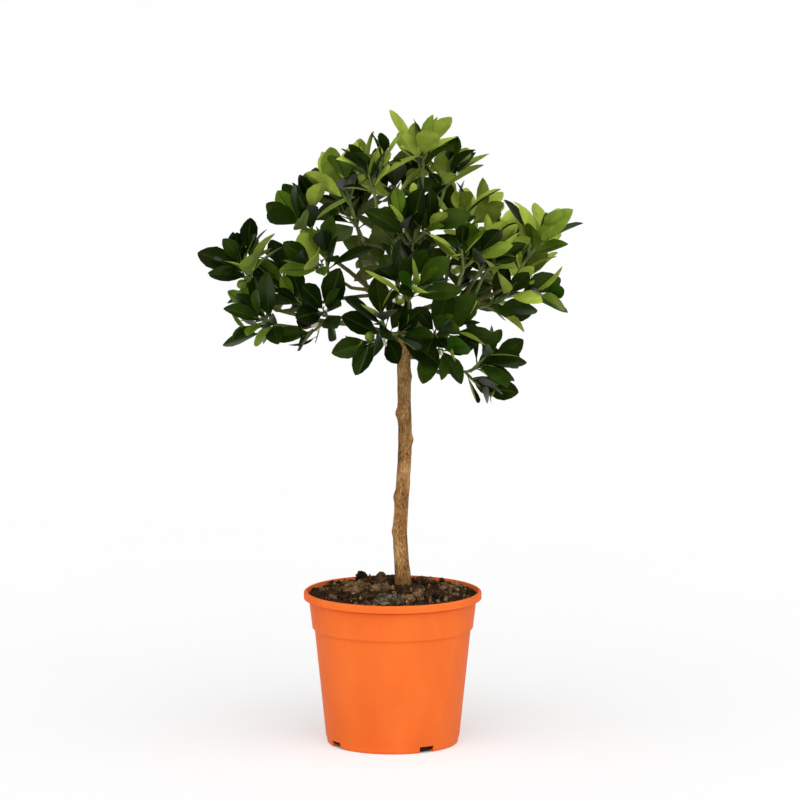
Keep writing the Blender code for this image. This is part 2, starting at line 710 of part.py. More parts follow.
def build():
    clear_scene()
    parts = make_collection("citrus_standard")
    cutters = make_collection("cutters")
    growing = make_collection("growing")
    plastic = make_material("orange_plastic", (0.93, 0.15, 0.03), 0.42)
    peat = make_material("compost", (0.035, 0.022, 0.014), 0.95, 0.2)
    bark = make_material("bark", (0.3, 0.16, 0.07), 0.85, 0.3)
    foliage = make_material("foliage", (0.035, 0.09, 0.015), 0.4)
    limbs, masses = grow_crown()
    make_pot(parts, cutters, plastic)
    make_compost(parts, peat)
    make_limbs(limbs, parts, cutters, bark)
    for mass in masses:
        make_mass(mass, parts, growing, foliage)
    bpy.data.collections.remove(growing)


build()
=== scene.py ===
import json
import math
import random
from collections import namedtuple
from itertools import product

import bmesh
import bpy
from mathutils import Matrix, Vector, noise
from mathutils.bvhtree import BVHTree
from mathutils.geometry import interpolate_bezier

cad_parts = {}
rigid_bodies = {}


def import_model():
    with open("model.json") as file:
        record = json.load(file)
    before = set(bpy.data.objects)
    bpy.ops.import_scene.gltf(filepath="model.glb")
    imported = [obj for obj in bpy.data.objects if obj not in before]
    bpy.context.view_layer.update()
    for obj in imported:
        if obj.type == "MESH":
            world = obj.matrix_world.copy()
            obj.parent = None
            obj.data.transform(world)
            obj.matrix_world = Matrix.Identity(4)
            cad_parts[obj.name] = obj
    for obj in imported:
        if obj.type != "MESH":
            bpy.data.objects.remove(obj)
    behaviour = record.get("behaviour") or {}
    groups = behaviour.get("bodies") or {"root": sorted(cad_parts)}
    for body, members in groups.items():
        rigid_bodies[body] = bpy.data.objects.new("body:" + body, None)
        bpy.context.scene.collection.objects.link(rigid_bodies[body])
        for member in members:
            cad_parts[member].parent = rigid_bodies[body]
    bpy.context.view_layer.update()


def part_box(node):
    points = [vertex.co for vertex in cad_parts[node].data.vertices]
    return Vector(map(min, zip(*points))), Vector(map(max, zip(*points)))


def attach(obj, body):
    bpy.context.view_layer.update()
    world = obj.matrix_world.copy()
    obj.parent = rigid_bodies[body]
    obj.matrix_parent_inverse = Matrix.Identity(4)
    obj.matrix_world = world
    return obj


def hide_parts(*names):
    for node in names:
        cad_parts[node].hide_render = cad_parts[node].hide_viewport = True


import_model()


# ---------------------------------------------------------------- the pot
# A thin nursery pot, injection moulded in bright orange polypropylene: a rolled lip to lift
# it by, a stiffening band, a body that tapers so that empty pots stack, and a foot ring
# with four drainage notches. The wall is 1.6 mm thick and satin, with a faint orange peel.

MM = 0.001
POT_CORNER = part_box("pot")[1]
POT_HEIGHT = POT_CORNER.z
RIM_RADIUS = POT_CORNER.x
LIP_HEIGHT = 8 * MM
BAND_TOP_RADIUS = 89.5 * MM
BAND_BASE_RADIUS = 86 * MM
BAND_BASE_HEIGHT = 124.5 * MM
BODY_TOP_RADIUS = 83.5 * MM
BODY_FOOT_RADIUS = 71.2 * MM
FOOT_RADIUS = 69.8 * MM
WALL = 1.6 * MM
FLOOR = 2.2 * MM
FLOOR_RADIUS = 68.2 * MM
FLOOR_CURVE = 2.2 * MM
WALL_START = 8 * MM
STEP = 1.2 * MM                # half the height of the band's lower step
LIP_BASE = POT_HEIGHT - LIP_HEIGHT
NOTCH = Vector((26, 17, 7)) * MM
NOTCH_DEPTH = 13 * MM
NOTCH_FIRST_BEARING = -59
POT_STEPS = 160
ORANGE = ((0.3, (0.77, 0.134, 0.021)), (0.7, (0.845, 0.164, 0.027)))


class Nodes:
    """A node tree, with short-hands for building it."""

    def __init__(self, tree):
        self.tree = tree

    def feed(self, socket, value):
        """Links a socket to an input, or sets the input to a value."""
        if isinstance(value, bpy.types.NodeSocket):
            self.tree.links.new(value, socket)
        else:
            socket.default_value = value

    def node(self, kind, inputs=(), **settings):
        """The outputs of a new node, with its settings and with sockets or values for its inputs."""
        node = self.tree.nodes.new(kind)
        for key, value in settings.items():
            setattr(node, key, value)
        for key, value in dict(inputs).items():
            self.feed(node.inputs[key], value)
        return node.outputs


class Finish(Nodes):
    """A procedural finish: one Principled shader and the nodes that feed it."""

    def __init__(self, name, roughness, specular):
        self.material = bpy.data.materials.new(name)
        self.material.use_nodes = True
        super().__init__(self.material.node_tree)
        self.shader = self.tree.nodes["Principled BSDF"].inputs
        self.feed(self.shader["Roughness"], roughness)
        self.feed(self.shader["Specular IOR Level"], specular)
        self.place = self.node("ShaderNodeTexCoord")["Object"]

    def grain(self, size, detail, stretch=(1, 1, 1)):
        """Noise with features about this many metres across, stretched along an axis by a share."""
        scale = [1 / (size * share) for share in stretch]
        place = self.node("ShaderNodeMapping", {"Vector": self.place, "Scale": scale})[0]
        return self.node("ShaderNodeTexNoise", {"Vector": place, "Scale": 1, "Detail": detail})["Fac"]

    def cells(self, size):
        """How far each place is from the middle of its cell, with cells about this many metres wide."""
        return self.node("ShaderNodeTexVoronoi", {"Vector": self.place, "Scale": 1 / size})["Distance"]

    def ramp(self, factor, stops):
        """Colours dealt out along a factor, as pairs of a position and a colour."""
        dealt = self.node("ShaderNodeValToRGB", {"Fac": factor})["Color"]
        made = dealt.node.color_ramp.elements
        for k, (position, colour) in enumerate(stops):
            stop = made[k] if k < len(made) else made.new(position)
            stop.position = position
            stop.color = (*colour, 1)
        return dealt

    def mixed(self, factor, first, second):
        """One colour over another where the factor is high."""
        first, second = [(*c, 1) if isinstance(c, tuple) else c for c in (first, second)]
        return self.node("ShaderNodeMix", {"Factor": factor, 6: first, 7: second}, data_type="RGBA")[2]

    def reckon(self, operation, first, second):
        """A sum on two values or sockets."""
        return self.node("ShaderNodeMath", {0: first, 1: second}, operation=operation)[0]

    def added(self, first, share, second, other_share):
        """Two values added up, a share of each."""
        parts = self.reckon("MULTIPLY", first, share), self.reckon("MULTIPLY", second, other_share)
        return self.reckon("ADD", *parts)

    def levels(self, value, low, high, start, stop):
        """A value between start and stop moved to between low and high, and kept within them."""
        return self.node("ShaderNodeMapRange", {0: value, 1: start, 2: stop, 3: low, 4: high})[0]

    def colour(self, socket):
        self.feed(self.shader["Base Color"], socket)

    def patches(self, size, detail, tones, stretch=(1, 1, 1)):
        """Colours the finish in patches about this many metres across."""
        self.colour(self.ramp(self.grain(size, detail, stretch), tones))

    def relief(self, height, depth, strength):
        """Fine relief, too small for the mesh, of about this depth in metres."""
        bump = self.node("ShaderNodeBump", {"Strength": strength, "Distance": depth, "Height": height})
        self.feed(self.shader["Normal"], bump[0])


plastic = Finish("orange_polypropylene", 0.5, 0.06)
plastic.patches(38 * MM, 4, ORANGE, (1, 1, 2.2))
polish = plastic.levels(plastic.grain(6 * MM, 2), 0.45, 0.56, 0.3, 0.7)
plastic.feed(plastic.shader["Roughness"], polish)
plastic.relief(plastic.grain(1.1 * MM, 2), 0.04 * MM, 0.35)


def settle(item):
    """Makes the work of an object's modifiers part of its mesh."""
    graph = bpy.context.evaluated_depsgraph_get()
    item.data = bpy.data.meshes.new_from_object(item.evaluated_get(graph))
    item.modifiers.clear()


def mesh_of(bm, name):
    """The mesh of a finished bmesh."""
    mesh = bpy.data.meshes.new(name)
    bm.to_mesh(mesh)
    bm.free()
    return mesh


def new_piece(name, mesh, *finishes):
    """An object in the scene with its mesh and finishes."""
    piece = bpy.data.objects.new(name, mesh)
    bpy.context.scene.collection.objects.link(piece)
    for finish in finishes:
        piece.data.materials.append(finish.material)
    return piece


def tidy(mesh, degrees=35):
    """Joins doubled corners, turns the faces outwards and shades smooth but for sharp edges."""
    bm = bmesh.new()
    bm.from_mesh(mesh)
    bmesh.ops.remove_doubles(bm, verts=bm.verts, dist=0.002 * MM)
    bmesh.ops.recalc_face_normals(bm, faces=bm.faces)
    bm.to_mesh(mesh)
    bm.free()
    mesh.shade_smooth()
    mesh.set_sharp_from_angle(angle=math.radians(degrees))


def arc(middle, radius, start, stop, count):
    """Points of an arc in the plane of radius and height, by angles from level outwards."""
    turns = [math.radians(start + (stop - start) * k / (count - 1)) for k in range(count)]
    return [(middle[0] + radius * math.cos(t), middle[1] + radius * math.sin(t)) for t in turns]


def turned(name, profile, steps):
    """A mesh turned about the upright axis from pairs of radius and height."""
    mesh = bpy.data.meshes.new(name)
    corners = [(radius, 0, height) for radius, height in profile]
    mesh.from_pydata(corners, [(k, k + 1) for k in range(len(corners) - 1)], [])
    item = new_piece(name, mesh)
    screw = item.modifiers.new("turn", "SCREW")
    screw.steps = screw.render_steps = steps
    screw.use_merge_vertices = True
    screw.merge_threshold = 0.01 * MM
    settle(item)
    tidy(item.data)
    return item


def inner_radius(height):
    """The pot's inner radius at a height up the body or the band."""
    if height < BAND_BASE_HEIGHT:
        outer = BODY_FOOT_RADIUS + (BODY_TOP_RADIUS - BODY_FOOT_RADIUS) * height / BAND_BASE_HEIGHT
    else:
        rise = (height - BAND_BASE_HEIGHT) / (LIP_BASE - BAND_BASE_HEIGHT)
        outer = BAND_BASE_RADIUS + (BAND_TOP_RADIUS - BAND_BASE_RADIUS) * rise
    return outer - WALL


def pot_profile():
    """The pot's section: up the inside from the middle of the floor, then down the outside."""
    round_out = 2.4 * MM
    round_in = 0.7 * MM
    inside = [(0, FLOOR), (FLOOR_RADIUS - FLOOR_CURVE, FLOOR), (FLOOR_RADIUS, FLOOR + 1.4 * MM)]
    inside += [(inner_radius(h), h) for h in (WALL_START, BAND_BASE_HEIGHT - STEP, BAND_BASE_HEIGHT + STEP)]
    inside += [(inner_radius(LIP_BASE), LIP_BASE - STEP), (RIM_RADIUS - 4.2 * MM, LIP_BASE + 2.5 * MM)]
    lip = arc((RIM_RADIUS - 3.2 * MM, POT_HEIGHT - round_in), round_in, 180, 90, 4)
    lip += arc((RIM_RADIUS - round_out, POT_HEIGHT - round_out), round_out, 90, 0, 7)
    lip += arc((RIM_RADIUS - round_in, LIP_BASE + round_in), round_in, 0, -90, 5)
    recess = ((1.2, 0.2), (0.2, 1.3), (-0.8, 0.8), (-0.8, -1.3), (-0.1, -1.8))
    under = [(BAND_TOP_RADIUS + out * MM, LIP_BASE + up * MM) for out, up in recess]
    shoulder = arc((BAND_BASE_RADIUS - round_in, BAND_BASE_HEIGHT + round_in), round_in, 10, -60, 4)
    body = [(BODY_TOP_RADIUS, BAND_BASE_HEIGHT - 1.6 * MM), (BODY_FOOT_RADIUS + 0.4 * MM, 7.6 * MM)]
    foot = [(BODY_FOOT_RADIUS - 0.1 * MM, 6.9 * MM), (FOOT_RADIUS + 0.8 * MM, 4.2 * MM)]
    foot += [(FOOT_RADIUS, 0.9 * MM), (FOOT_RADIUS - 1.2 * MM, 0), (0, 0)]
    return inside + lip + under + shoulder + body + foot


def cut_notch(item, bearing):
    """Cuts one drainage notch through the foot ring and the edge of the floor."""
    bpy.ops.mesh.primitive_cube_add(size=1)
    box = bpy.context.object
    middle = FOOT_RADIUS - NOTCH_DEPTH + NOTCH.x / 2
    turn = Matrix.Rotation(math.radians(bearing), 4, "Z")
    sized = Matrix.Diagonal((NOTCH.x, NOTCH.y, NOTCH.z * 2, 1))
    box.data.transform(turn @ Matrix.Translation((middle, 0, 0)) @ sized)
    cutting = item.modifiers.new("notch", "BOOLEAN")
    cutting.operation = "DIFFERENCE"
    cutting.object = box
    settle(item)
    bpy.data.objects.remove(box)


pot = turned("pot_shell", pot_profile(), POT_STEPS)
for quarter in range(4):
    cut_notch(pot, NOTCH_FIRST_BEARING + 90 * quarter)
tidy(pot.data, 40)
pot.data.materials.append(plastic.material)
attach(pot, "root")
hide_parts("pot")


# ---------------------------------------------------------------- the compost
# Dark peat compost with composted bark, filled by hand to just under the rim and heaped
# towards the stem. Its lumps, bark chips, pale grit and scraps of moss lie loose on the bed.

BED_EDGE_HEIGHT = 159.5 * MM
MOUND_HEIGHT = 166.8 * MM
SEAT_HEIGHT = 170 * MM
SEAT_RADIUS = 6 * MM
STEM_FOOT = Vector((11.3, 6, 168)) * MM
STEM_CLEARING = 16 * MM
BED_RADIUS = RIM_RADIUS - 4.6 * MM
BED_PLAY = 0.5 * MM
BED_RINGS = 66
STREWN_RINGS = 63
BED_SPOKES = 200
LUMP_LIFT = 0.6 * MM
LUMP_SIZES = ((19 * MM, 4.2 * MM), (9 * MM, 4 * MM), (3.6 * MM, 1.6 * MM))  # across, high
PEAT = ((0.36, (0.005, 0.0022, 0.001)), (0.5, (0.019, 0.009, 0.0035)), (0.66, (0.075, 0.038, 0.015)))
CRUMB = ((0.38, (0.008, 0.0038, 0.0015)), (0.5, (0.036, 0.0185, 0.0075)), (0.64, (0.155, 0.085, 0.034)))
CHIP = ((0.36, (0.022, 0.011, 0.004)), (0.5, (0.125, 0.068, 0.028)), (0.64, (0.42, 0.27, 0.135)))
STONE = ((0.38, (0.018, 0.012, 0.007)), (0.52, (0.080, 0.060, 0.038)), (0.66, (0.40, 0.31, 0.20)))
GRIT = ((0.3, (0.28, 0.21, 0.14)), (0.7, (0.52, 0.45, 0.34)))
MOSS = ((0.3, (0.09, 0.10, 0.016)), (0.7, (0.27, 0.28, 0.06)))


def bed_height(x, y):
    """The height of the bed: a low mound with lumps of three sizes, level under the stem."""
    reach = min(1.0, math.hypot(x, y) / BED_RADIUS)
    mound = BED_EDGE_HEIGHT + (MOUND_HEIGHT - BED_EDGE_HEIGHT) * (1 - reach ** 2) ** 0.9
    lumps = LUMP_LIFT
    for size, height in LUMP_SIZES:
        lumps += noise.noise(Vector((x, y, 0)) / size) * height
    away = math.hypot(x - STEM_FOOT.x, y - STEM_FOOT.y)
    blend = min(1.0, max(0.2, (away - SEAT_RADIUS) / STEM_CLEARING))
    return SEAT_HEIGHT + (mound + lumps * (1 - 0.45 * reach ** 3) - SEAT_HEIGHT) * blend


def bed_mesh(ring_count, with_sides):
    """The bed's top as rings of quads, and below it the plug of compost that fills the pot."""
    bm = bmesh.new()
    turns = [2 * math.pi * j / BED_SPOKES for j in range(BED_SPOKES)]
    circle = [(math.cos(turn), math.sin(turn)) for turn in turns]
    rings = []
    for k in range(1, ring_count + 1):
        radius = BED_RADIUS * k / BED_RINGS
        places = [(radius * x, radius * y) for x, y in circle]
        rings.append([bm.verts.new((x, y, bed_height(x, y))) for x, y in places])
    if with_sides:
        heights = (LIP_BASE - STEP, BAND_BASE_HEIGHT + STEP, BAND_BASE_HEIGHT - STEP, WALL_START)
        levels = [(RIM_RADIUS - 4.1 * MM, LIP_BASE + 2.5 * MM)]
        levels += [(inner_radius(h), h) for h in heights]
        levels += [(FLOOR_RADIUS, FLOOR + 2 * MM), (FLOOR_RADIUS - FLOOR_CURVE, FLOOR)]
        for outer, level in levels:
            radius, height = outer - BED_PLAY, level + 0.3 * MM
            rings.append([bm.verts.new((radius * x, radius * y, height)) for x, y in circle])
        bm.faces.new(rings[-1][::-1])
    top = bm.verts.new((0, 0, bed_height(0, 0)))
    for j in range(BED_SPOKES):
        k = (j + 1) % BED_SPOKES
        bm.faces.new((top, rings[0][j], rings[0][k]))
        for inner, outer in zip(rings, rings[1:]):
            bm.faces.new((inner[j], outer[j], outer[k], inner[k]))
    mesh = mesh_of(bm, "bed")
    mesh.shade_smooth()
    return mesh


def loose_finish(name, tones, size):
    """A dull, crumbly finish whose tones change from lump to lump and within each."""
    finish = Finish(name, 0.92, 0.1)
    coarse = finish.grain(size, 2)
    fine = finish.grain(size / 7, 5)
    finish.colour(finish.ramp(finish.added(coarse, 0.45, fine, 0.55), tones))
    finish.relief(fine, 1.2 * MM, 1.0)
    return finish


peat = loose_finish("peat", PEAT, 9 * MM)
compost = new_piece("compost_bed", bed_mesh(BED_RINGS, True), peat)
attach(compost, "root")
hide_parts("compost")

LUMP_SHAPES = 6
LUMP_REACH = 0.52


def lump_shapes(name, stretch, seed):
    """A collection of small rough lumps about a unit across, for strewing."""
    collection = bpy.data.collections.new(name)
    for k in range(LUMP_SHAPES):
        bm = bmesh.new()
        bmesh.ops.create_cube(bm, size=1)
        bmesh.ops.subdivide_edges(bm, edges=bm.edges, cuts=1, use_grid_fill=True)
        for corner in bm.verts:
            corner.co = corner.co.normalized() * LUMP_REACH
            push = noise.noise(corner.co * 3.1 + Vector((seed, k * 5.3, 0)))
            corner.co = corner.co * (1 + 0.75 * push) * Vector(stretch)
        mesh = mesh_of(bm, f"{name}_{k}")
        collection.objects.link(bpy.data.objects.new(mesh.name, mesh))
    return collection


class Tree(Nodes):
    """A Geometry Nodes tree with named inputs."""

    def __init__(self, name):
        super().__init__(bpy.data.node_groups.new(name, "GeometryNodeTree"))
        for way in ("INPUT", "OUTPUT"):
            self.tree.interface.new_socket("Geometry", in_out=way, socket_type="NodeSocketGeometry")
        self.start = self.node("NodeGroupInput")
        self.end = self.tree.nodes.new("NodeGroupOutput").inputs

    def settings(self, **kinds):
        """Adds named inputs and returns their sockets inside the tree."""
        for name, kind in kinds.items():
            self.tree.interface.new_socket(name, in_out="INPUT", socket_type=f"NodeSocket{kind}")
        return [self.start[name] for name in kinds]

    def chance(self, low, high, seed, kind="FLOAT_VECTOR"):
        """A random value for each point, from the tree's own seed."""
        drawn = [s for s in self.node("FunctionNodeRandomValue", data_type=kind) if s.enabled][0]
        for name, value in (("Min", low), ("Max", high), ("Seed", seed)):
            self.feed([s for s in drawn.node.inputs if s.enabled and s.name == name][0], value)
        return drawn

    def told(self, name, kind):
        """What the points or faces say under a name."""
        outputs = self.node("GeometryNodeInputNamedAttribute", {"Name": name}, data_type=kind)
        return [s for s in outputs if s.enabled][0]

    def real(self, instances):
        """Instances made into geometry of their own."""
        return self.node("GeometryNodeRealizeInstances", {"Geometry": instances})[0]

    def finished(self, geometry, finish):
        """The whole tree, once it makes instances real, gives them a finish and hands them out."""
        coated = self.node("GeometryNodeSetMaterial", {"Geometry": self.real(geometry), "Material": finish})
        self.feed(self.end[0], coated[0])
        return self

    def grow(self, name, mesh, values):
        """Runs the tree on a mesh with its inputs set, and returns the result as a plain piece."""
        piece = new_piece(name, mesh)
        modifier = piece.modifiers.new(name, "NODES")
        modifier.node_group = self.tree
        for item in self.tree.interface.items_tree:
            if item.in_out == "INPUT" and item.name in values:
                modifier[item.identifier] = values[item.name]
        settle(piece)
        return piece


FULL_TURN = 6.28


def strewing_tree():
    """Strews lumps on a surface, each turned and sized by chance."""
    tree = Tree("strewing")
    lumps, density, smallest, largest, seed, finish = tree.settings(
        Lumps="Collection", Density="Float", Smallest="Float", Largest="Float", Seed="Int",
        Finish="Material")
    strewn = tree.node("GeometryNodeDistributePointsOnFaces",
                       {"Mesh": tree.start[0], "Density": density, "Seed": seed})
    shapes = tree.node("GeometryNodeCollectionInfo",
                       {"Collection": lumps, "Separate Children": True, "Reset Children": True})
    turn = tree.chance((0, 0, 0), (FULL_TURN, FULL_TURN, FULL_TURN), seed)
    size = tree.chance(smallest, largest, seed, "FLOAT")
    placed = tree.node("GeometryNodeInstanceOnPoints",
                       {"Points": strewn["Points"], "Instance": shapes[0], "Pick Instance": True,
                        "Rotation": turn, "Scale": size})
    return tree.finished(placed[0], finish)


strewing = strewing_tree()
Strewn = namedtuple("Strewn", "name stretch tones grain density smallest largest seed")
STREWN = [Strewn(*row) for row in (
    ("peat_crumbs", (1, 0.85, 0.7), CRUMB, 7, 20000, 1.4, 6.5, 3),
    ("bark_chips", (1, 0.55, 0.3), CHIP, 9, 8000, 3, 12, 8),
    ("pale_grit", (1, 0.8, 0.6), GRIT, 6, 2200, 0.7, 2.4, 5),
    ("moss_scraps", (1, 0.7, 0.3), MOSS, 5, 600, 1.4, 3.6, 11),
)]
for kind in STREWN:
    finish = loose_finish(kind.name, kind.tones, kind.grain * MM)
    piece = strewing.grow(kind.name, bed_mesh(STREWN_RINGS, False), {
        "Lumps": lump_shapes(f"{kind.name}_shapes", kind.stretch, kind.seed),
        "Density": float(kind.density),
        "Smallest": kind.smallest * MM,
        "Largest": kind.largest * MM,
        "Seed": kind.seed,
        "Finish": finish.material,
    })
    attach(piece, "root")


# The larger lumps of bark that lie on the bed, each by its middle, its size and its turn.
Boulder = namedtuple("Boulder", "x y size turn tones")
BOULDERS = [Boulder(*row) for row in (
    (-5, -64, (31, 18, 14), 8, STONE),
    (16, -66, (15, 12, 13), 50, CHIP),
    (-42, -20, (20, 17, 17), -20, CHIP),
    (-12, 18, (38, 15, 14), 12, CRUMB),
    (-35, 4, (22, 17, 11), 40, CHIP),
    (-34, 60, (13, 9, 12), 30, PEAT),
    (-13, 46, (13, 11, 12), 70, CRUMB),
    (53, 56, (6, 6, 7), 10, PEAT),
    (40, -34, (19, 13, 10), 35, CRUMB),
    (-62, -28, (18, 12, 10), -35, CRUMB),
    (57, -6, (24, 15, 13), 70, CHIP),
    (32, 30, (19, 13, 10), 120, CRUMB),
    (27, -50, (15, 11, 10), 100, CHIP),
    (-27, -48, (15, 12, 10), 20, CRUMB),
    (-14, -24, (20, 12, 11), 160, CHIP),
    (46, -46, (12, 9, 9), 60, PEAT),
    (-50, -46, (15, 10, 9), 130, PEAT),
    (-66, 8, (14, 11, 9), 75, CRUMB),
)]
BOULDER_ROUGHNESS = ((1.7, 0.4), (4.5, 0.3), (11, 0.16), (24, 0.09))  # how fine, how high
BOULDER_RISE = 0.18            # of its height, from the bed to its middle


def boulder_mesh(boulder, seed):
    """A rough, broken lump of bark half sunk in the bed."""
    bm = bmesh.new()
    bmesh.ops.create_icosphere(bm, subdivisions=5, radius=0.5)
    size = Vector(boulder.size) * MM
    middle = Vector((boulder.x * MM, boulder.y * MM, 0))
    middle.z = bed_height(middle.x, middle.y) + size.z * BOULDER_RISE
    turn = Matrix.Rotation(math.radians(boulder.turn), 3, "Z")
    for corner in bm.verts:
        rough = 1
        for k, (grain, push) in enumerate(BOULDER_ROUGHNESS):
            rough += noise.noise(corner.co * grain + Vector((seed * 7.7, k * 3.1, 1.3))) * push
        corner.co = middle + turn @ (corner.co * rough * size)
    return mesh_of(bm, "boulder")


def joined(name, meshes, *finishes):
    """Several meshes as one smooth piece. Each mesh's faces take the finish of its own number."""
    bm = bmesh.new()
    for number, mesh in meshes:
        before = len(bm.faces)
        bm.from_mesh(mesh)
        bm.faces.ensure_lookup_table()
        for face in bm.faces[before:]:
            face.material_index = number
            face.smooth = True
    return new_piece(name, mesh_of(bm, name), *finishes)


LUMP_TONES = (CHIP, CRUMB, STONE, PEAT)
lump_finishes = [loose_finish(f"lump_{k}", tones, 8 * MM) for k, tones in enumerate(LUMP_TONES)]
lumps = [(LUMP_TONES.index(b.tones), boulder_mesh(b, k)) for k, b in enumerate(BOULDERS)]
boulders = joined("bark_lumps", lumps, *lump_finishes)
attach(boulders, "root")


# ---------------------------------------------------------------- the trunk and the boughs
# One woody stem, trained straight and bare from a flared foot to the head, and the boughs
# that fork from it. The stem's bark is ripe, buff-brown, finely ridged and specked with
# corky pores. The boughs are younger: thin, greener bark, drawn in a collar round each fork.

UP = Vector((0, 0, 1))
GAP = 0.3 * MM
TRUNK_FOOT = 168 * MM
Station = namedtuple("Station", "height x y radius")
TRUNK = [Station(*row) for row in (
    (0, 11.3, 6, 8.6),
    (28, 9.5, 5, 7.8),
    (57, 7.8, 4, 7.6),
    (90, 9.5, 3, 7.4),
    (137, 12.5, 2, 7.3),
    (168, 13.0, 1, 7.2),
    (205, 12.2, 0, 7.1),
    (245, 12.0, 0, 7.2),
    (275, 12.0, 0, 6.6),
    (300, 13.0, 0, 4.0),
)]
# Healed stubs of the side shoots that were pruned off
Knob = namedtuple("Knob", "height bearing size push")
KNOBS = [Knob(*row) for row in (
    (187, 185, 9, 2.6),
    (158.5, 5, 8, 2.2),
    (142, 268, 12, 1.3),
    (97, 178, 9, 1.9),
    (60, 190, 8, 1.6),
    (226, 20, 8, 1.8),
    (118, 80, 9, 1.8),
)]
BARE_STEM_RADIUS = 7.5
FOOT_FLARE = 0.7 * MM
FOOT_HEIGHT = 9
FOOT_LOBES = 5
FOOT_SUNK = 6 * MM
FORK = Vector((12, 0, 445)) * MM
STEM_LENGTH = 20 * MM
BOUGH_RADIUS = 3.6 * MM
BOUGH_SHARE = 0.8
BOUGH_TIP_RADIUS = 1.7 * MM
BOUGH_PACE = 16 * MM
BOUGH_WANDER = 1.1 * MM
BOUGH_FOLLOW = 0.35
BOUGH_AIM = 0.75
BOUGH_BEND = 0.33
BOUGH_TAPER = 0.8
COLLAR = 1.35
COLLAR_REACH = 11 * MM
COLLAR_PACE = 5 * MM

# Sprays: the place of each from the fork, where it leaves its parent, and how it grows.
# at is a height over the trunk's foot in millimetres, or a share of a parent bough's length.
Spray = namedtuple(
    "Spray", "name parent at bearing reach rise aim climb spread shoot leaves lift turn fruit seed drop"
)
SPRAYS = [Spray(*row) for row in (
    ("top",            "trunk",        300,  19,  21, 171,  40, 88, 24, 22, 6, 0.45,  70, 0, 116,  10),
    ("far_left",       "trunk",        262, 178, 162,  52, 176, 52, 44, 26, 6, 0.35,  50, 1,  40,  20),
    ("left_upper",     "trunk",        278, 176,  98, 105, 172, 52, 40, 26, 6, 0.28,  10, 1,  92,  30),
    ("right",          "trunk",        274, 356, 132,  80, 350, 60, 34, 26, 6, 0.40,  20, 0,  59,  25),
    ("far_right",      "right",       0.55,   8, 122,  40,  10, 30, 46, 26, 5, 0.08,  60, 0, 197,  34),
    ("lower_right",    "trunk",        250, 348,  72, -43, 350,  4, 42, 26, 6, 0.00,  70, 0, 146,  32),
    ("top_right",      "top",         0.45,  29,  50, 148,  10, 72, 28, 22, 6, 0.42,  50, 0, 126,  10),
    ("upper_left",     "left_upper",  0.50, 188,  58, 138, 190, 74, 32, 26, 6, 0.42,  50, 0, 146,  30),
    ("left_low",       "far_left",    0.50, 198, 145,  11, 188,  8, 42, 26, 6, 0.00,  80, 0, 108,  26),
    ("upper_centre",   "top",         0.30, 234,  54, 153, 235, 74, 32, 26, 6, 0.42,  50, 0, 135,  30),
    ("heart",          "top",         0.15, 284,  46, 100, 290, 60, 36, 26, 6, 0.30,  10, 0,  33,  40),
    ("front",          "trunk",        270, 273,  98,  46, 270, 62, 36, 26, 6, 0.30,   0, 1,  72,  40),
    ("front_right",    "trunk",        258, 312,  94,  74, 318, 66, 34, 26, 6, 0.38,  10, 1, 105,  30),
    ("right_mid",      "right",       0.45, 338,  91,  63, 340, 66, 34, 26, 6, 0.38,  80, 0,  64,  30),
    ("right_low",      "lower_right", 0.45,   2,  92,  26,   0, 14, 42, 26, 6, 0.03, 100, 0,  24,  26),
    ("left_mid",       "left_upper",  0.40, 202,  86,  65, 200, 35, 38, 22, 4, 0.15,  10, 0,  27,  20),
    ("left_inner",     "far_left",    0.40, 214, 100,  21, 215,  8, 42, 26, 6, 0.00,  90, 0, 104,  34),
    ("front_low",      "front",       0.40, 258,  84,   6, 255, 10, 42, 26, 6, 0.00,  50, 1, 145,  44),
    ("right_front",    "front_right", 0.40, 296,  70,   0, 310,  4, 36, 26, 6, 0.00,  90, 0,  18,  50),
    ("back_right",     "trunk",        284,  48, 126,  56,  45, 48, 40, 26, 7, 0.22,  90, 0, 191,  34),
    ("back_top",       "top",         0.40,  97,  59, 132,  90, 65, 36, 26, 7, 0.30,  50, 0,  71,  40),
    ("back",           "trunk",        262,  94, 134,  54,  95, 44, 40, 26, 7, 0.18,  10, 1, 177,  34),
    ("back_left",      "trunk",        270, 119, 104, 101, 136, 58, 40, 26, 7, 0.24,  60, 0, 105,  24),
    ("back_low_left",  "back_left",   0.40, 156, 137,  36, 146, 16, 48, 26, 6, 0.00,  50, 0,   7,  30),
    ("back_low_right", "back",        0.40,  62, 114,  24,  60,  8, 42, 26, 6, 0.00,  50, 0, 164,  28),
    ("right_top_back", "back_right",  0.50,  38,  76, 100,  35, 62, 36, 26, 6, 0.32,  70, 0, 194,  40),
)]


def polar(bearing, reach, rise):
    """A place in millimetres given by bearing, level reach and rise, as a vector in metres."""
    angle = math.radians(bearing)
    return Vector((math.cos(angle) * reach, math.sin(angle) * reach, rise)) * MM


def heading(bearing, climb):
    """A unit vector that points along a bearing and climbs by an angle."""
    angle = math.radians(bearing)
    slope = math.radians(climb)
    return Vector((math.cos(angle) * math.cos(slope), math.sin(angle) * math.cos(slope), math.sin(slope)))


def across(direction):
    """A unit vector square to a direction."""
    other = Vector((1, 0, 0)) if abs(direction.z) > 0.9 else UP
    return direction.cross(other).normalized()


def along(points, share):
    """The place and the direction at a share of the length of a course."""
    lengths = [0]
    for start, end in zip(points, points[1:]):
        lengths.append(lengths[-1] + (end - start).length)
    wanted = share * lengths[-1]
    for i in range(len(points) - 1):
        if lengths[i + 1] >= wanted:
            part = (wanted - lengths[i]) / (lengths[i + 1] - lengths[i])
            return points[i].lerp(points[i + 1], part), (points[i + 1] - points[i]).normalized()
    return points[-1], (points[-1] - points[-2]).normalized()


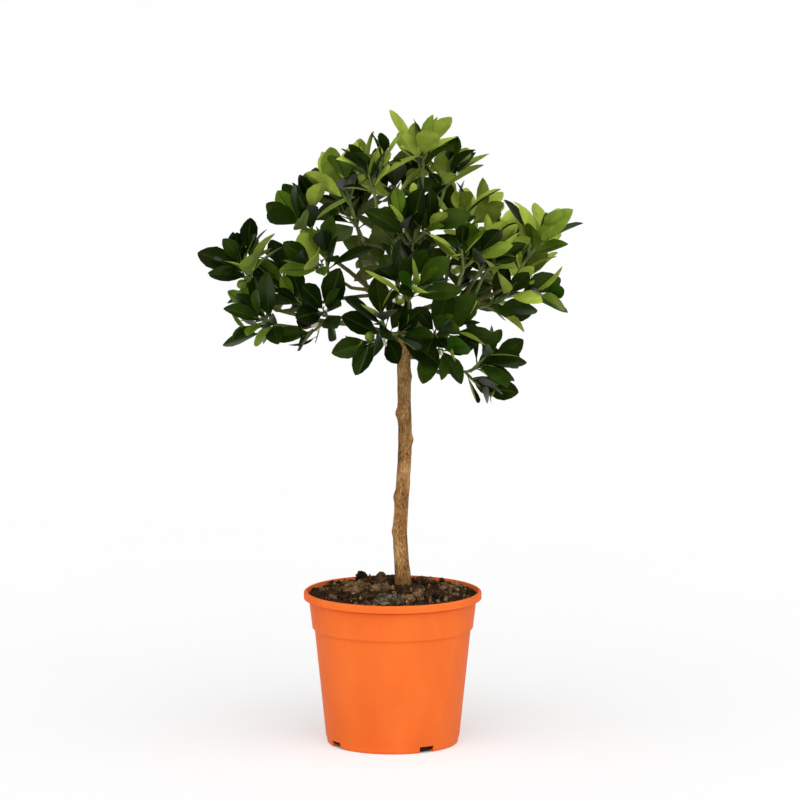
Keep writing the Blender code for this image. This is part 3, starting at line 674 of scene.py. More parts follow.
def turned_to(first, second, angle):
    """The direction at an angle from one unit vector towards another."""
    return first * math.cos(angle) + second * math.sin(angle)


def around(axis, angle):
    """A unit vector square to an axis, turned about it by an angle."""
    return Matrix.Rotation(angle, 3, axis) @ across(axis)


def value_at(values, share):
    """The value at a share of a row of values."""
    place = share * (len(values) - 1)
    k = min(int(place), len(values) - 2)
    return values[k] + (values[k + 1] - values[k]) * (place - k)


def tube_shape(points, radii, sides):
    """The corners and faces of a closed tube, used to keep pieces clear of each other."""
    corners = []
    faces = []
    side = None
    last = len(points) - 1
    for i, (point, radius) in enumerate(zip(points, radii)):
        axis = (points[min(i + 1, last)] - points[max(i - 1, 0)]).normalized()
        side = across(axis) if side is None else (side - axis * side.dot(axis)).normalized()
        other = axis.cross(side)
        for k in range(sides):
            corners.append(point + turned_to(side, other, 2 * math.pi * k / sides) * radius)
    for i in range(last):
        for k in range(sides):
            j = (k + 1) % sides
            faces.append((i * sides + k, i * sides + j, (i + 1) * sides + j, (i + 1) * sides + k))
    faces.append(tuple(range(sides))[::-1])
    faces.append(tuple(range(last * sides, (last + 1) * sides)))
    return corners, faces


class Space:
    """The room that one piece takes, which later pieces keep out of."""

    def __init__(self, shape, owner, kind):
        corners, faces = shape
        self.tree = BVHTree.FromPolygons([corner[:] for corner in corners], faces)
        self.middle = sum(corners, Vector()) / len(corners)
        self.radius = max((corner - self.middle).length for corner in corners)
        self.owner = owner
        self.kind = kind

    def meets(self, other):
        if (self.middle - other.middle).length > self.radius + other.radius:
            return False
        return bool(self.tree.overlap(other.tree))


class Mass:
    """A spray and all that grows in it."""

    def __init__(self, spray):
        self.spray = spray
        self.name = spray.name
        self.chance = random.Random(spray.seed)
        self.hub = FORK + polar(spray.bearing, spray.reach, spray.rise)
        self.heading = heading(spray.aim, spray.climb)
        self.start = self.hub - self.heading * STEM_LENGTH
        self.stem = [self.start + self.heading * GAP, self.hub - self.heading * 6 * MM, self.hub]
        self.twigs = []
        self.leaves = []

    def space(self, shape, kind):
        return Space(shape, self.name, kind)


def trunk_course():
    points = [Vector((s.x * MM, s.y * MM, TRUNK_FOOT + s.height * MM)) for s in TRUNK]
    return points, [s.radius * MM for s in TRUNK]


def grow_bough(mass, limbs):
    """The course and radii of the limb that carries a mass, from the middle of its parent."""
    spray = mass.spray
    chance = mass.chance
    parent = limbs[spray.parent][0]
    share = spray.at
    if spray.parent == "trunk":
        share = spray.at * MM / (parent[-1].z - parent[0].z)
    start, tangent = along(parent, share)
    goes_on = share > 0.999
    if goes_on:
        start = start + tangent * GAP
    reach = mass.start - start
    lead = (tangent * BOUGH_FOLLOW + reach.normalized() * BOUGH_AIM).normalized()
    lead *= reach.length * BOUGH_BEND
    follow = mass.heading * reach.length * BOUGH_BEND
    count = max(5, int(reach.length / BOUGH_PACE))
    points = interpolate_bezier(start, start + lead, mass.start - follow, mass.start, count)
    points[-2] = mass.start - mass.heading * (points[-1] - points[-2]).length
    side = across(reach.normalized())
    for point in points[1:-2]:
        wander = side * chance.uniform(-1, 1) + UP * chance.uniform(-1, 1)
        point += wander * BOUGH_WANDER
    if goes_on:
        points[1] = start + tangent * (points[1] - start).length
    thick = min(BOUGH_RADIUS, value_at(limbs[spray.parent][1], share) * BOUGH_SHARE)
    thinning = [(i / (count - 1)) ** BOUGH_TAPER for i in range(count)]
    radii = [thick + (BOUGH_TIP_RADIUS - thick) * thinner for thinner in thinning]
    return points, radii


limbs = {"trunk": trunk_course()}
spaces = [Space(tube_shape(*limbs["trunk"], 8), "trunk", "limb")]
masses = [Mass(spray) for spray in SPRAYS]
for mass in masses:
    points, radii = grow_bough(mass, limbs)
    limbs[mass.name] = (points, radii)
    clear_course = [points[0].lerp(points[1], 0.5)] + points[1:]
    shape = tube_shape(clear_course, [radius + GAP for radius in radii], 6)
    spaces.append(mass.space(shape, "limb"))


def limb_tree():
    """Sweeps a round section along courses, as thick as each point says, and roughens it."""
    tree = Tree("limb")
    pace, sides, grain, relief, finish = tree.settings(
        Pace="Float", Sides="Int", Grain="Vector", Relief="Float", Finish="Material")
    course = tree.node("GeometryNodeMeshToCurve", {"Mesh": tree.start[0]})
    smooth = tree.node("GeometryNodeCurveSplineType", {"Curve": course[0]}, spline_type="CATMULL_ROM")
    even = tree.node("GeometryNodeResampleCurve", {"Curve": smooth[0], "Length": pace}, mode="LENGTH")
    section = tree.node("GeometryNodeCurvePrimitiveCircle", {"Resolution": sides})
    tube = tree.node("GeometryNodeCurveToMesh", {
        "Curve": even[0], "Profile Curve": section[0], "Scale": tree.told("thickness", "FLOAT"),
        "Fill Caps": True})
    place = tree.node("GeometryNodeInputPosition")
    ridges = tree.node("ShaderNodeVectorMath", {0: place[0], 1: grain}, operation="MULTIPLY")
    rough = tree.node("ShaderNodeTexNoise", {"Vector": ridges[0], "Scale": 1.0, "Detail": 3.0})
    raised = tree.node("ShaderNodeMath", {0: rough[0], 1: 0.5}, operation="SUBTRACT")
    push = tree.node("ShaderNodeMath", {0: raised[0], 1: relief}, operation="MULTIPLY")
    outward = tree.node("GeometryNodeInputNormal")
    offset = tree.node("ShaderNodeVectorMath", {0: outward[0], "Scale": push[0]}, operation="SCALE")
    barked = tree.node("GeometryNodeSetPosition", {"Geometry": tube[0], "Offset": offset[0]})
    shaded = tree.node("GeometryNodeSetShadeSmooth", {"Geometry": barked[0]})
    return tree.finished(shaded[0], finish)


limb = limb_tree()


def courses_mesh(name, courses):
    """Lines with a thickness at each point, one chain for each course of points and radii."""
    corners, edges, thickness = [], [], []
    for points, radii in courses:
        edges += [(len(corners) + k, len(corners) + k + 1) for k in range(len(points) - 1)]
        corners += points
        thickness += radii
    mesh = bpy.data.meshes.new(name)
    mesh.from_pydata(corners, edges, [])
    mesh.attributes.new("thickness", "FLOAT", "POINT").data.foreach_set("value", thickness)
    return mesh


def grow_limbs(name, courses, finish, pace, sides, grain, relief):
    """Limbs along courses as one piece. The grain says how many ridges fit in a metre each way."""
    return limb.grow(name, courses_mesh(name, courses), {
        "Pace": pace, "Sides": sides, "Grain": grain, "Relief": relief, "Finish": finish.material})


PORE_SPACING = 2.6 * MM
PORE_EDGE = (0.16, 0.26)
HEAD_SHADE_START, HEAD_SHADE_STOP = 260 * MM, 440 * MM  # where painted shade of the head darkens the bark of the stem
# The colour of the painted shade that the head casts on the stem's bark
HEAD_SHADE_WOOD = (0.05, 0.034, 0.014)
RIPE_TONES = ((0.38, (0.095, 0.038, 0.009)), (0.45, (0.225, 0.102, 0.029)),
              (0.53, (0.33, 0.165, 0.053)), (0.61, (0.53, 0.315, 0.125)))
YOUNG_TONES = ((0.28, (0.035, 0.032, 0.010)), (0.45, (0.075, 0.068, 0.021)),
               (0.58, (0.125, 0.105, 0.036)), (0.75, (0.21, 0.17, 0.07)))


def bark_finish(name, tones, pore_colour, ridge, stretch, head_shade=0.0):
    """Bark: fine ridges up the limb, broader patches of tone, small pale pores, and painted shade of the head
    higher up.
    """
    finish = Finish(name, 0.82, 0.15)
    ridges = finish.grain(ridge, 4, (1, 1, stretch))
    broad = finish.grain(ridge * 9, 3, (1, 1, 2))
    wood = finish.ramp(finish.added(ridges, 0.5, broad, 0.5), tones)
    # Painted shade: the bark darkens towards the head, which shades it
    if head_shade:
        height = finish.node("ShaderNodeSeparateXYZ", {0: finish.place})["Z"]
        wood = finish.mixed(finish.levels(height, 0, head_shade, HEAD_SHADE_START, HEAD_SHADE_STOP), wood, HEAD_SHADE_WOOD)
    pores = finish.levels(finish.cells(PORE_SPACING), 1, 0, *PORE_EDGE)
    finish.colour(finish.mixed(finish.reckon("MULTIPLY", pores, 0.55), wood, pore_colour))
    height = finish.reckon("ADD", ridges, finish.reckon("MULTIPLY", pores, 0.35))
    finish.relief(height, 0.7 * MM, 0.75)
    return finish


# The stem's bark darkens higher up with painted shade of the head
ripe_bark = bark_finish("ripe_bark", RIPE_TONES, (0.60, 0.42, 0.22), 1.3 * MM, 3, 0.42)
young_bark = bark_finish("young_bark", YOUNG_TONES, (0.26, 0.22, 0.11), 1.8 * MM, 3.5)


def middle_of_trunk(height):
    """The middle of the trunk at a height over its foot in millimetres."""
    for low, high in zip(TRUNK, TRUNK[1:]):
        if height <= high.height:
            break
    part = min(1.0, max(0.0, (height - low.height) / (high.height - low.height)))
    return Vector((low.x + (high.x - low.x) * part, low.y + (high.y - low.y) * part, 0)) * MM


def shape_trunk(mesh):
    """Flares the foot in lobes and raises the healed stubs."""
    for corner in mesh.vertices:
        height = (corner.co.z - TRUNK_FOOT) / MM
        out = corner.co - middle_of_trunk(height)
        out.z = 0
        if out.length < MM:
            continue
        turn = math.atan2(out.y, out.x)
        out.normalize()
        flare = math.exp(-max(height, 0) / FOOT_HEIGHT)
        lobes = 0.75 + 0.45 * math.sin(turn * FOOT_LOBES + 0.7) + 0.3 * math.sin(turn * 2 + 2)
        push = FOOT_FLARE * flare * lobes
        for knob in KNOBS:
            sway = (math.degrees(turn) - knob.bearing + 180) % 360 - 180
            aside = math.radians(sway) * BARE_STEM_RADIUS
            far = math.hypot(aside, (height - knob.height) * 0.8) / (knob.size / 2)
            push += knob.push * MM * math.exp(-far * far)
        corner.co += out * push


stem, radii = limbs["trunk"]
sunk = [stem[0] - UP * FOOT_SUNK] + stem, [radii[0]] + radii
trunk = grow_limbs("trunk_bark", [sunk], ripe_bark, 1.3 * MM, 56, [360, 360, 75], 1.5 * MM)
shape_trunk(trunk.data)
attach(trunk, "root")
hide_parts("trunk")


def collared(points, radii):
    """A bough's course with a fine start, so that a collar can swell where it leaves its parent."""
    course, thickness = [], []
    whole = sum((b - a).length for a, b in zip(points, points[1:]))
    count = max(12, int(whole / COLLAR_PACE))
    for k in range(count + 1):
        share = k / count
        swell = 1 + (COLLAR - 1) * math.exp(-(share * whole / COLLAR_REACH) ** 2)
        course.append(along(points, share)[0])
        thickness.append(value_at(radii, share) * swell)
    return course, thickness


for mass in masses:
    course = collared(*limbs[mass.name])
    bough = grow_limbs(
        f"bough_{mass.name}_bark", [course], young_bark, 1.6 * MM, 20, [420, 420, 300], 0.9 * MM)
    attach(bough, "root")
    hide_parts(f"bough_{mass.name}")


# ---------------------------------------------------------------- the twigs
# Green, slightly angled shoots of this year and last that fan out of each bough's tip,
# with finer side twigs on them. They are soft-barked and thin out towards their tips.

SHOOTS = 3
SHOOT_TRIES = 8
SHOOT_SWAY = 12
SHOOT_SWAY_LATER = 50
STEM_RADIUS = 1.5 * MM
SHOOT_RADII = (1.2 * MM, 1.2 * MM, 0.8 * MM)
CLEARANCE = 0.45 * MM
TWIG_THICKNESS = 1.35          # rounded twigs against the solids' slim three-sided ones
GOLDEN_TURN = math.radians(137.508)
FINE_TWIGS = ((0.5, 0.75), (0.98, 0.15))  # where along the shoot, how far it leans out
FINE_TWIG_LENGTH = 17 * MM
FINE_TWIG_RADIUS = 0.62 * MM
FINE_TWIG_SEED = 1000


def free_of_others(space, spaces):
    """True where a space meets none that belongs to another mass."""
    return not any(other.owner != space.owner and other.meets(space) for other in spaces)


def grow_shoots(mass, spaces):
    """Fans the shoots of a mass about its heading, each turned until it is clear."""
    spray = mass.spray
    chance = mass.chance
    side = across(mass.heading)
    other = mass.heading.cross(side)
    for k in range(SHOOTS):
        for attempt in range(SHOOT_TRIES):
            sway = SHOOT_SWAY if attempt == 0 else SHOOT_SWAY_LATER
            turn = math.radians(spray.turn + 360 * k / SHOOTS + chance.uniform(-sway, sway))
            spread = math.radians(spray.spread * chance.uniform(0.75, 1.15))
            way = turned_to(mass.heading, turned_to(side, other, turn), spread)
            way = (way + UP * spray.lift * 0.5).normalized()
            length = spray.shoot * MM * chance.uniform(0.8, 1.2)
            base = mass.stem[1].lerp(mass.stem[2], k / (SHOOTS - 1))
            middle = base + way * length * 0.5 + UP * chance.uniform(-0.3, 0.6) * MM
            end = base + (way + UP * spray.lift * 0.35).normalized() * length
            twig = [base, middle, end]
            margins = [radius + CLEARANCE for radius in SHOOT_RADII]
            space = mass.space(tube_shape(twig, margins, 3), "twig")
            if free_of_others(space, spaces):
                mass.twigs.append(twig)
                spaces.append(space)
                break


for mass in masses:
    spaces.append(mass.space(tube_shape(mass.stem, [STEM_RADIUS + CLEARANCE] * 3, 3), "twig"))
for mass in masses:
    grow_shoots(mass, spaces)


def fine_twigs(mass, spaces):
    """Short side twigs that leave each shoot at a golden turn from each other and rise a little."""
    chance = random.Random(mass.spray.seed + FINE_TWIG_SEED)
    found = []
    for twig in mass.twigs:
        first = chance.uniform(0, 2 * math.pi)
        for k, (share, lean) in enumerate(FINE_TWIGS):
            base, axis = along(twig, share)
            way = (axis * 0.9 + around(axis, first + k * GOLDEN_TURN) * lean + UP * 0.3).normalized()
            length = FINE_TWIG_LENGTH * chance.uniform(0.7, 1.15)
            bend = UP * length * chance.uniform(-0.1, 0.12)
            fine = [base, base + way * length * 0.5 + bend, base + way * length]
            shape = tube_shape(fine[1:], [FINE_TWIG_RADIUS] * 2, 3)
            if free_of_others(mass.space(shape, "fine"), spaces):
                found.append(fine)
    return found


for mass in masses:
    mass.fine = fine_twigs(mass, spaces)


FRUIT_RADIUS = 5.2 * MM


def ball_shape(middle, radius):
    """The room of a small round thing."""
    levels = [middle + UP * radius * k for k in (-1, -0.6, 0.6, 1)]
    return tube_shape(levels, [radius * k for k in (0.5, 1.05, 1.05, 0.5)], 6)


def keep_fruit_room(mass, spaces):
    """Keeps the room of one fruit free of leaves, on the outer side of the first shoot."""
    out = (heading(mass.spray.bearing, 0) + UP * 0.25).normalized()
    base, middle = mass.twigs[0][:2]
    place = base.lerp(middle, 0.4) + out * FRUIT_RADIUS * 1.5
    spaces.append(mass.space(ball_shape(place, FRUIT_RADIUS), "fruit"))


for mass in masses:
    if mass.spray.fruit:
        keep_fruit_room(mass, spaces)


# ---------------------------------------------------------------- the leaves
# Leathery citrus leaves, set a golden turn apart along each shoot: elliptic with a blunt
# tip, a little folded along a pale midrib and thin at the margin. Their upper sides are dark,
# waxy and glossy, the undersides matt and yellow-green. Smaller young ones are at the tips.

LEAF_LENGTH = 49 * MM
LEAF_ASPECT = 0.45
LENGTH_SHARES = (0.84, 1.12)
WIDTH_SHARES = (0.92, 1.08)
LEAF_THICKNESS = 1.2 * MM
PETIOLE = 0.12
SPRAY_RADIUS = 72 * MM
GROWN_KINDS = (0, 0, 1, 2, 3, 4)
LEAF_TRIES = 14
LEAF_SPLAY = 66
LEAF_CLOSING = 44
FIRST_LEAF = 0.2
LEAF_START = 0.02              # shares of its length from which a leaf keeps clear of others,
BLADE_START = 0.16             # and of its own spray
LeafKind = namedtuple("LeafKind", "fold arch width")
LEAF_KINDS = [LeafKind(*row) for row in (
    (12, 18, 1.0),
    (20, 10, 0.92),
    (7, 30, 1.08),
    (26, 22, 0.8),
    (15, -6, 1.0),
)]
LEAF_STATIONS = (0.42, 0.76)
LEAF_PATTERNS = 2              # wave patterns of each kind
BLADE_ROWS = (0.13, 0.2, 0.34, 0.52, 0.7, 0.86, 0.955)
BLADE_COLUMNS = (-1, -0.52, -0.07, 0.07, 0.52, 1)
BLADE_THICKNESS = 0.35 * MM
LEAF_WAVE = 0.008
BLADE_BREADTH = 1.12           # the rounded blade against the solids' pointed one
# The share of each spray's upright leaves that close round their shoot and show their underside
CLOSED = {
    "top": 0.95, "top_right": 0.75, "far_right": 0.95, "right": 0.8, "right_top_back": 0.9,
    "upper_centre": 0.5, "upper_left": 0.5, "front_right": 0.35, "right_mid": 0.3, "heart": 0.22,
    "far_left": 0.15, "right_low": 0.3,
}
SELDOM_CLOSED = 0.05
# The sprays in the shade of the head, whose undersides take a painted shade
SHADED_SPRAYS = ("back", "back_left", "back_low_left", "back_low_right", "left_inner")
YOUNG_PLACE = 0.6
YOUNG_SPLAY = 62 - 38 * YOUNG_PLACE
YOUNG_TRIES = 5
YOUNG_LENGTH = (24 * MM, 38 * MM)
YOUNG_KINDS = (0, 1, 3, 4)
YOUNG_GROWTH_SEED = 2000


def half_width(share):
    """Half the width of a leaf at a share of its length, where the widest is 1: stalk, then blade."""
    blade = max(0.0, (share - PETIOLE) / (1 - PETIOLE))
    if blade >= 1:
        return 0.0
    return max(0.03, (4 * blade * (1 - blade)) ** 0.62 * (0.9 + 0.2 * blade))


class Leaf:
    """One leaf: its root on a twig's middle, the way it points and faces, and its fold and arch."""

    def __init__(self, root, direction, facing, length, width, kind):
        self.root = root
        self.length = length
        self.width = width
        self.kind = kind
        self.direction = direction.normalized()
        self.facing = (facing - self.direction * facing.dot(self.direction)).normalized()
        self.side = self.facing.cross(self.direction)
        self.fold = math.tan(math.radians(LEAF_KINDS[kind].fold))
        self.arch = math.radians(LEAF_KINDS[kind].arch)

    def point(self, share, across_share, lift=0.0):
        """A point of the leaf: share runs from root to tip, across_share from -1 to 1 between edges."""
        turn = self.arch * share if share else 1e-6
        forward = self.length * math.sin(turn) / self.arch
        sideways = half_width(share) * self.width / 2 * across_share
        height = abs(sideways) * self.fold + lift - self.length * (1 - math.cos(turn)) / self.arch
        return self.root + self.direction * forward + self.facing * height + self.side * sideways


def leaf_shape(leaf, start, margin):
    """The corners and faces of a leaf from a share of its length on, thickened by a margin."""
    corners = [leaf.point(start, 0)]
    for share in LEAF_STATIONS:
        edge = 1 + margin / (half_width(share) * leaf.width / 2)
        corners.append(leaf.point(share, edge, margin))
        corners.append(leaf.point(share, -edge, margin))
        corners.append(leaf.point(share, 0, -LEAF_THICKNESS / 2 - margin))
    corners.append(leaf.point(1, 0) + leaf.direction * margin)
    faces = []
    for k in range(3):
        j = (k + 1) % 3
        faces += [(0, 1 + k, 1 + j), (1 + k, 4 + k, 4 + j, 1 + j), (4 + k, 7, 4 + j)]
    return corners, faces


def try_leaf(mass, twig, place, number, phase, attempt):
    """One leaf by the rule: a golden turn on from the last, more upright towards the shoot's tip."""
    spray = mass.spray
    chance = mass.chance
    loose = 1 if attempt == 0 else 1 + attempt * 0.12
    share = min(1.0, max(0.12, place + chance.uniform(-0.08, 0.08) * loose))
    base, axis = along(twig, share)
    turn = phase + number * GOLDEN_TURN + chance.uniform(-0.3, 0.3) * loose
    splay = math.radians(LEAF_SPLAY - LEAF_CLOSING * place + chance.uniform(-10, 10) * loose)
    way = turned_to(axis, around(axis, turn), splay)
    way = (way + UP * spray.lift * (1.2 if way.z < 0.3 else 0.6)).normalized()
    shorter = 0.24 * place if number == spray.leaves - 1 else 0
    length = LEAF_LENGTH * (1.06 - shorter) * chance.uniform(*LENGTH_SHARES) * 0.97 ** attempt
    kind = chance.choice(GROWN_KINDS)
    width = length * LEAF_ASPECT * LEAF_KINDS[kind].width * chance.uniform(*WIDTH_SHARES)
    skyward = 0.9 if spray.lift <= 0.1 else 0.35
    facing = (axis - way * axis.dot(way)).normalized() + (UP - way * UP.dot(way)) * skyward
    facing += way.cross(facing).normalized() * chance.uniform(-0.45, 0.45)
    return Leaf(base, way, facing, length, width, kind)


def finds_room(leaf, mass, spaces):
    """True where the leaf stays near its mass and clear of all but its twig. It then takes the room."""
    tip = leaf.point(1, 0)
    lowest = min(leaf.point(0.6, 1).z, leaf.point(0.6, -1).z, tip.z)
    if (tip - mass.hub).length > SPRAY_RADIUS or lowest < mass.hub.z - mass.spray.drop * MM:
        return False
    whole = mass.space(leaf_shape(leaf, LEAF_START, CLEARANCE), "leaf")
    blade = mass.space(leaf_shape(leaf, BLADE_START, CLEARANCE * 0.5), "leaf")
    for other in spaces:
        own = other.owner == mass.name and other.kind in ("leaf", "twig")
        if other.meets(blade if own else whole):
            return False
    spaces.append(mass.space(leaf_shape(leaf, LEAF_START, 0), "leaf"))
    return True


def grow_leaves(mass, spaces):
    """The large leaves of a mass, shoot by shoot, each tried until it finds room."""
    chance = mass.chance
    plan = []
    for twig in mass.twigs:
        phase = chance.uniform(0, 2 * math.pi)
        for number in range(mass.spray.leaves):
            plan.append((twig, number, phase))
    for twig, number, phase in plan:
        place = FIRST_LEAF + (1 - FIRST_LEAF) * number / (mass.spray.leaves - 1)
        for attempt in range(LEAF_TRIES):
            leaf = try_leaf(mass, twig, place, number, phase, attempt)
            if finds_room(leaf, mass, spaces):
                mass.leaves.append(leaf)
                break


def grow_young_leaves(mass, spaces):
    """One small leaf on each fine twig, within the same room. Twigs without one are left out."""
    chance = random.Random(mass.spray.seed + YOUNG_GROWTH_SEED)
    mass.young, mass.leafy = [], []
    for fine in mass.fine:
        phase = chance.uniform(0, 2 * math.pi)
        base, axis = along(fine, YOUNG_PLACE)
        for attempt in range(YOUNG_TRIES):
            splay = math.radians(YOUNG_SPLAY + chance.uniform(-12, 12))
            way = (turned_to(axis, around(axis, phase + attempt), splay) + UP * 0.25).normalized()
            length = chance.uniform(*YOUNG_LENGTH) * 0.94 ** attempt
            facing = (axis - way * axis.dot(way)).normalized() + UP * 0.3
            kind = chance.choice(YOUNG_KINDS)
            leaf = Leaf(base, way, facing, length, length * LEAF_ASPECT * LEAF_KINDS[kind].width, kind)
            if finds_room(leaf, mass, spaces):
                mass.young.append(leaf)
                mass.leafy.append(fine)
                break


def blade_width(share):
    """The true outline of the blade: a wedge from the stalk, broadest past its middle, then blunt."""
    blade = min(1.0, max(0.0, (share - PETIOLE) / (1 - PETIOLE)))
    return max(0.035, math.sin(math.pi * blade ** 1.2) ** 0.75)


def leaf_pattern(kind, pattern, turned_over):
    """One leaf a unit long and pointing along Y, closed all round, its parts told by an attribute."""
    leaf = Leaf(Vector(), Vector((0, 1, 0)), Vector((0, 0, 1)), 1, LEAF_ASPECT * LEAF_KINDS[kind].width, kind)
    if turned_over:
        leaf.fold, leaf.arch = -leaf.fold, -leaf.arch
    thick = BLADE_THICKNESS / LEAF_LENGTH
    chance = random.Random(kind * 7 + pattern)
    phase = chance.uniform(0, 6)
    bm = bmesh.new()
    part = bm.faces.layers.int.new("part")

    def corner(share, column, lift):
        wave = LEAF_WAVE * math.sin(share * 9 + phase + (1.4 if column > 0 else 0)) * abs(column)
        groove = -0.006 * max(0.0, 1 - abs(column) / 0.2) * math.sin(math.pi * min(1, max(0, share)))
        swerve = 0.02 * math.sin(share * 3.4 + phase)
        sideways = column * blade_width(share) / max(half_width(share), 0.01)
        place = leaf.point(share, sideways, lift + wave + groove)
        return bm.verts.new(place + Vector((swerve * share, 0, 0)))

    def face(corners, number):
        found = bm.faces.new(corners)
        found[part] = number
        found.smooth = True

    upper = [[corner(row, column, thick / 2) for column in BLADE_COLUMNS] for row in BLADE_ROWS]
    keel = [corner(row, 0, -thick * (1.2 if row < 0.9 else 0.7)) for row in BLADE_ROWS]
    tip = corner(0.998, 0, 0)
    last = len(BLADE_COLUMNS) - 1
    for low, high, keel_low, keel_high in zip(upper, upper[1:], keel, keel[1:]):
        for k in range(last):
            face((low[k], high[k], high[k + 1], low[k + 1]), 2 if k == last // 2 else 0)
        face((low[0], keel_low, keel_high, high[0]), 1)
        face((low[last], high[last], keel_high, keel_low), 1)
    for k in range(last):
        face((upper[-1][k], tip, upper[-1][k + 1]), 0)
    face((upper[-1][0], keel[-1], tip), 1)
    face((upper[-1][last], tip, keel[-1]), 1)
    stalk = 0.016
    heel = [bm.verts.new((x, -0.01, z)) for x, z in ((-stalk, 0.008), (stalk, 0.008), (0, -0.018))]
    neck = upper[0]
    face((heel[0], *neck, heel[1]), 2)
    face((heel[0], heel[2], keel[0], neck[0]), 2)
    face((heel[1], neck[last], keel[0], heel[2]), 2)
    face((heel[0], heel[1], heel[2]), 2)
    bmesh.ops.recalc_face_normals(bm, faces=bm.faces)
    for edge in bm.edges:
        numbers = {found[part] for found in edge.link_faces}
        edge.smooth = not ((1 in numbers and len(numbers) > 1) or set(edge.verts) <= set(keel))
    return mesh_of(bm, f"leaf_{(kind * 2 + turned_over) * LEAF_PATTERNS + pattern:02d}")


def leaf_tree():
    """Sets a leaf pattern on each point, turned and sized as the point says, and finishes it."""
    tree = Tree("leaves")
    patterns = tree.settings(Patterns="Collection")[0]
    shapes = tree.node("GeometryNodeCollectionInfo",
                       {"Collection": patterns, "Separate Children": True, "Reset Children": True})
    part = tree.told("part", "INT")
    tint = tree.told("tint", "INT")
    both = tree.node("ShaderNodeMath", {0: part, 1: 10.0, 2: tint}, operation="MULTIPLY_ADD")[0]
    turn = tree.node("FunctionNodeEulerToRotation", {"Euler": tree.told("turn", "FLOAT_VECTOR")})
    set_on = tree.node("GeometryNodeInstanceOnPoints", {
        "Points": tree.start[0], "Instance": shapes[0], "Pick Instance": True,
        "Instance Index": tree.told("shape", "INT"), "Rotation": turn[0],
        "Scale": tree.told("size", "FLOAT_VECTOR")})
    geometry = tree.real(set_on[0])
    uppers = [(f"Upper {k}", tint, k) for k in range(len(UPPER_TINTS))]
    # Leaves of one tint take a painted-shade copy of the underside
    others = ("Underside", part, 1), ("Older underside", both, 10 + SHADED_UNDERSIDE_TINT), ("Midrib", part, 2)
    for name, told, number in (*uppers, *others):
        finish = tree.settings(**{name: "Material"})[0]
        chosen = tree.node("FunctionNodeCompare", data_type="INT", operation="EQUAL")
        first, second = [s for s in chosen[0].node.inputs if s.enabled]
        tree.feed(first, told)
        tree.feed(second, number)
        geometry = tree.node("GeometryNodeSetMaterial", {
            "Geometry": geometry, "Selection": chosen[0], "Material": finish})[0]
    tree.feed(tree.end[0], geometry)
    return tree


# Base colours, their roughness and how many leaves in a hundred take each
Tint = namedtuple("Tint", "colour roughness share")
UPPER_TINTS = [Tint(*row) for row in (
    ((0.0038, 0.0115, 0.0008), 0.33, 32),
    ((0.0080, 0.0215, 0.0012), 0.35, 33),
    ((0.0165, 0.0385, 0.0020), 0.37, 24),
    ((0.0240, 0.0700, 0.0028), 0.38, 3),
    ((0.0600, 0.1100, 0.0060), 0.42, 8),
)]
SHADED_UNDERSIDE_TINT = 1                 # leaves with this tint take a painted shade underneath
UNDERSIDE = Tint((0.310, 0.400, 0.052), 0.66, 100)
# Painted shade: a darker copy of the underside, dealt out to the leaves of one tint
UNDERSIDE_IN_SHADE = Tint((0.175, 0.250, 0.027), 0.6, 100)
# Painted shade: a dark copy of the underside for the sprays in the shade of the head
PAINTED_SHADE_UNDERSIDE = Tint((0.042, 0.068, 0.007), 0.6, 100)
MIDRIB = Tint((0.018, 0.038, 0.004), 0.42, 100)
SHEEN_TINT = (0.9, 1.0, 0.25, 1)


def leaf_finish(name, tint, relief):
    """A waxy leaf colour, a touch lighter and darker in small patches, with fine vein relief."""
    finish = Finish(name, tint.roughness, 0.12)
    finish.feed(finish.shader["Specular Tint"], SHEEN_TINT)
    light = tuple(min(1.0, share * 1.25 + 0.001) for share in tint.colour)
    dark = tuple(share * 0.76 for share in tint.colour)
    finish.patches(16 * MM, 2, ((0.3, dark), (0.5, tint.colour), (0.7, light)))
    finish.relief(finish.grain(2.2 * MM, 3), 0.16 * MM, relief)
    return finish


for mass in masses:
    grow_leaves(mass, spaces)
for mass in masses:
    grow_young_leaves(mass, spaces)

patterns = bpy.data.collections.new("leaf_patterns")
for kind in range(len(LEAF_KINDS)):
    for turned_over in (0, 1):
        for pattern in range(LEAF_PATTERNS):
            mesh = leaf_pattern(kind, pattern, turned_over)
            patterns.objects.link(bpy.data.objects.new(mesh.name, mesh))
leaf_finishes = {
    "Underside": leaf_finish("leaf_underside", UNDERSIDE, 0.5),
    # The underside with painted shade, for the leaves of one tint
    "Older underside": leaf_finish("leaf_older_underside", UNDERSIDE_IN_SHADE, 0.5),
    "Midrib": leaf_finish("leaf_midrib", MIDRIB, 0.2),
}
for k, tint in enumerate(UPPER_TINTS):
    leaf_finishes[f"Upper {k}"] = leaf_finish(f"leaf_upper_{k}", tint, 0.35)
# The painted-shade underside of the shaded sprays
painted_shade_underside = leaf_finish("leaf_dull_underside", PAINTED_SHADE_UNDERSIDE, 0.5)
leaf_setting = leaf_tree()


HEAD_BACK = 95 * MM            # behind this, most leaves look out to the back
SELDOM_FORWARD = 0.25


def looks_in(leaf, chance):
    """True where a leaf's hollow side looks to the inside of the head, away from the light."""
    middle = leaf.point(0.6, 0)
    forward = middle.y < HEAD_BACK or chance.random() < SELDOM_FORWARD
    out = (middle - FORK).normalized() * 0.6 + Vector((0, -0.8 if forward else 0.8, 0.3))
    return leaf.facing.dot(out) < 0


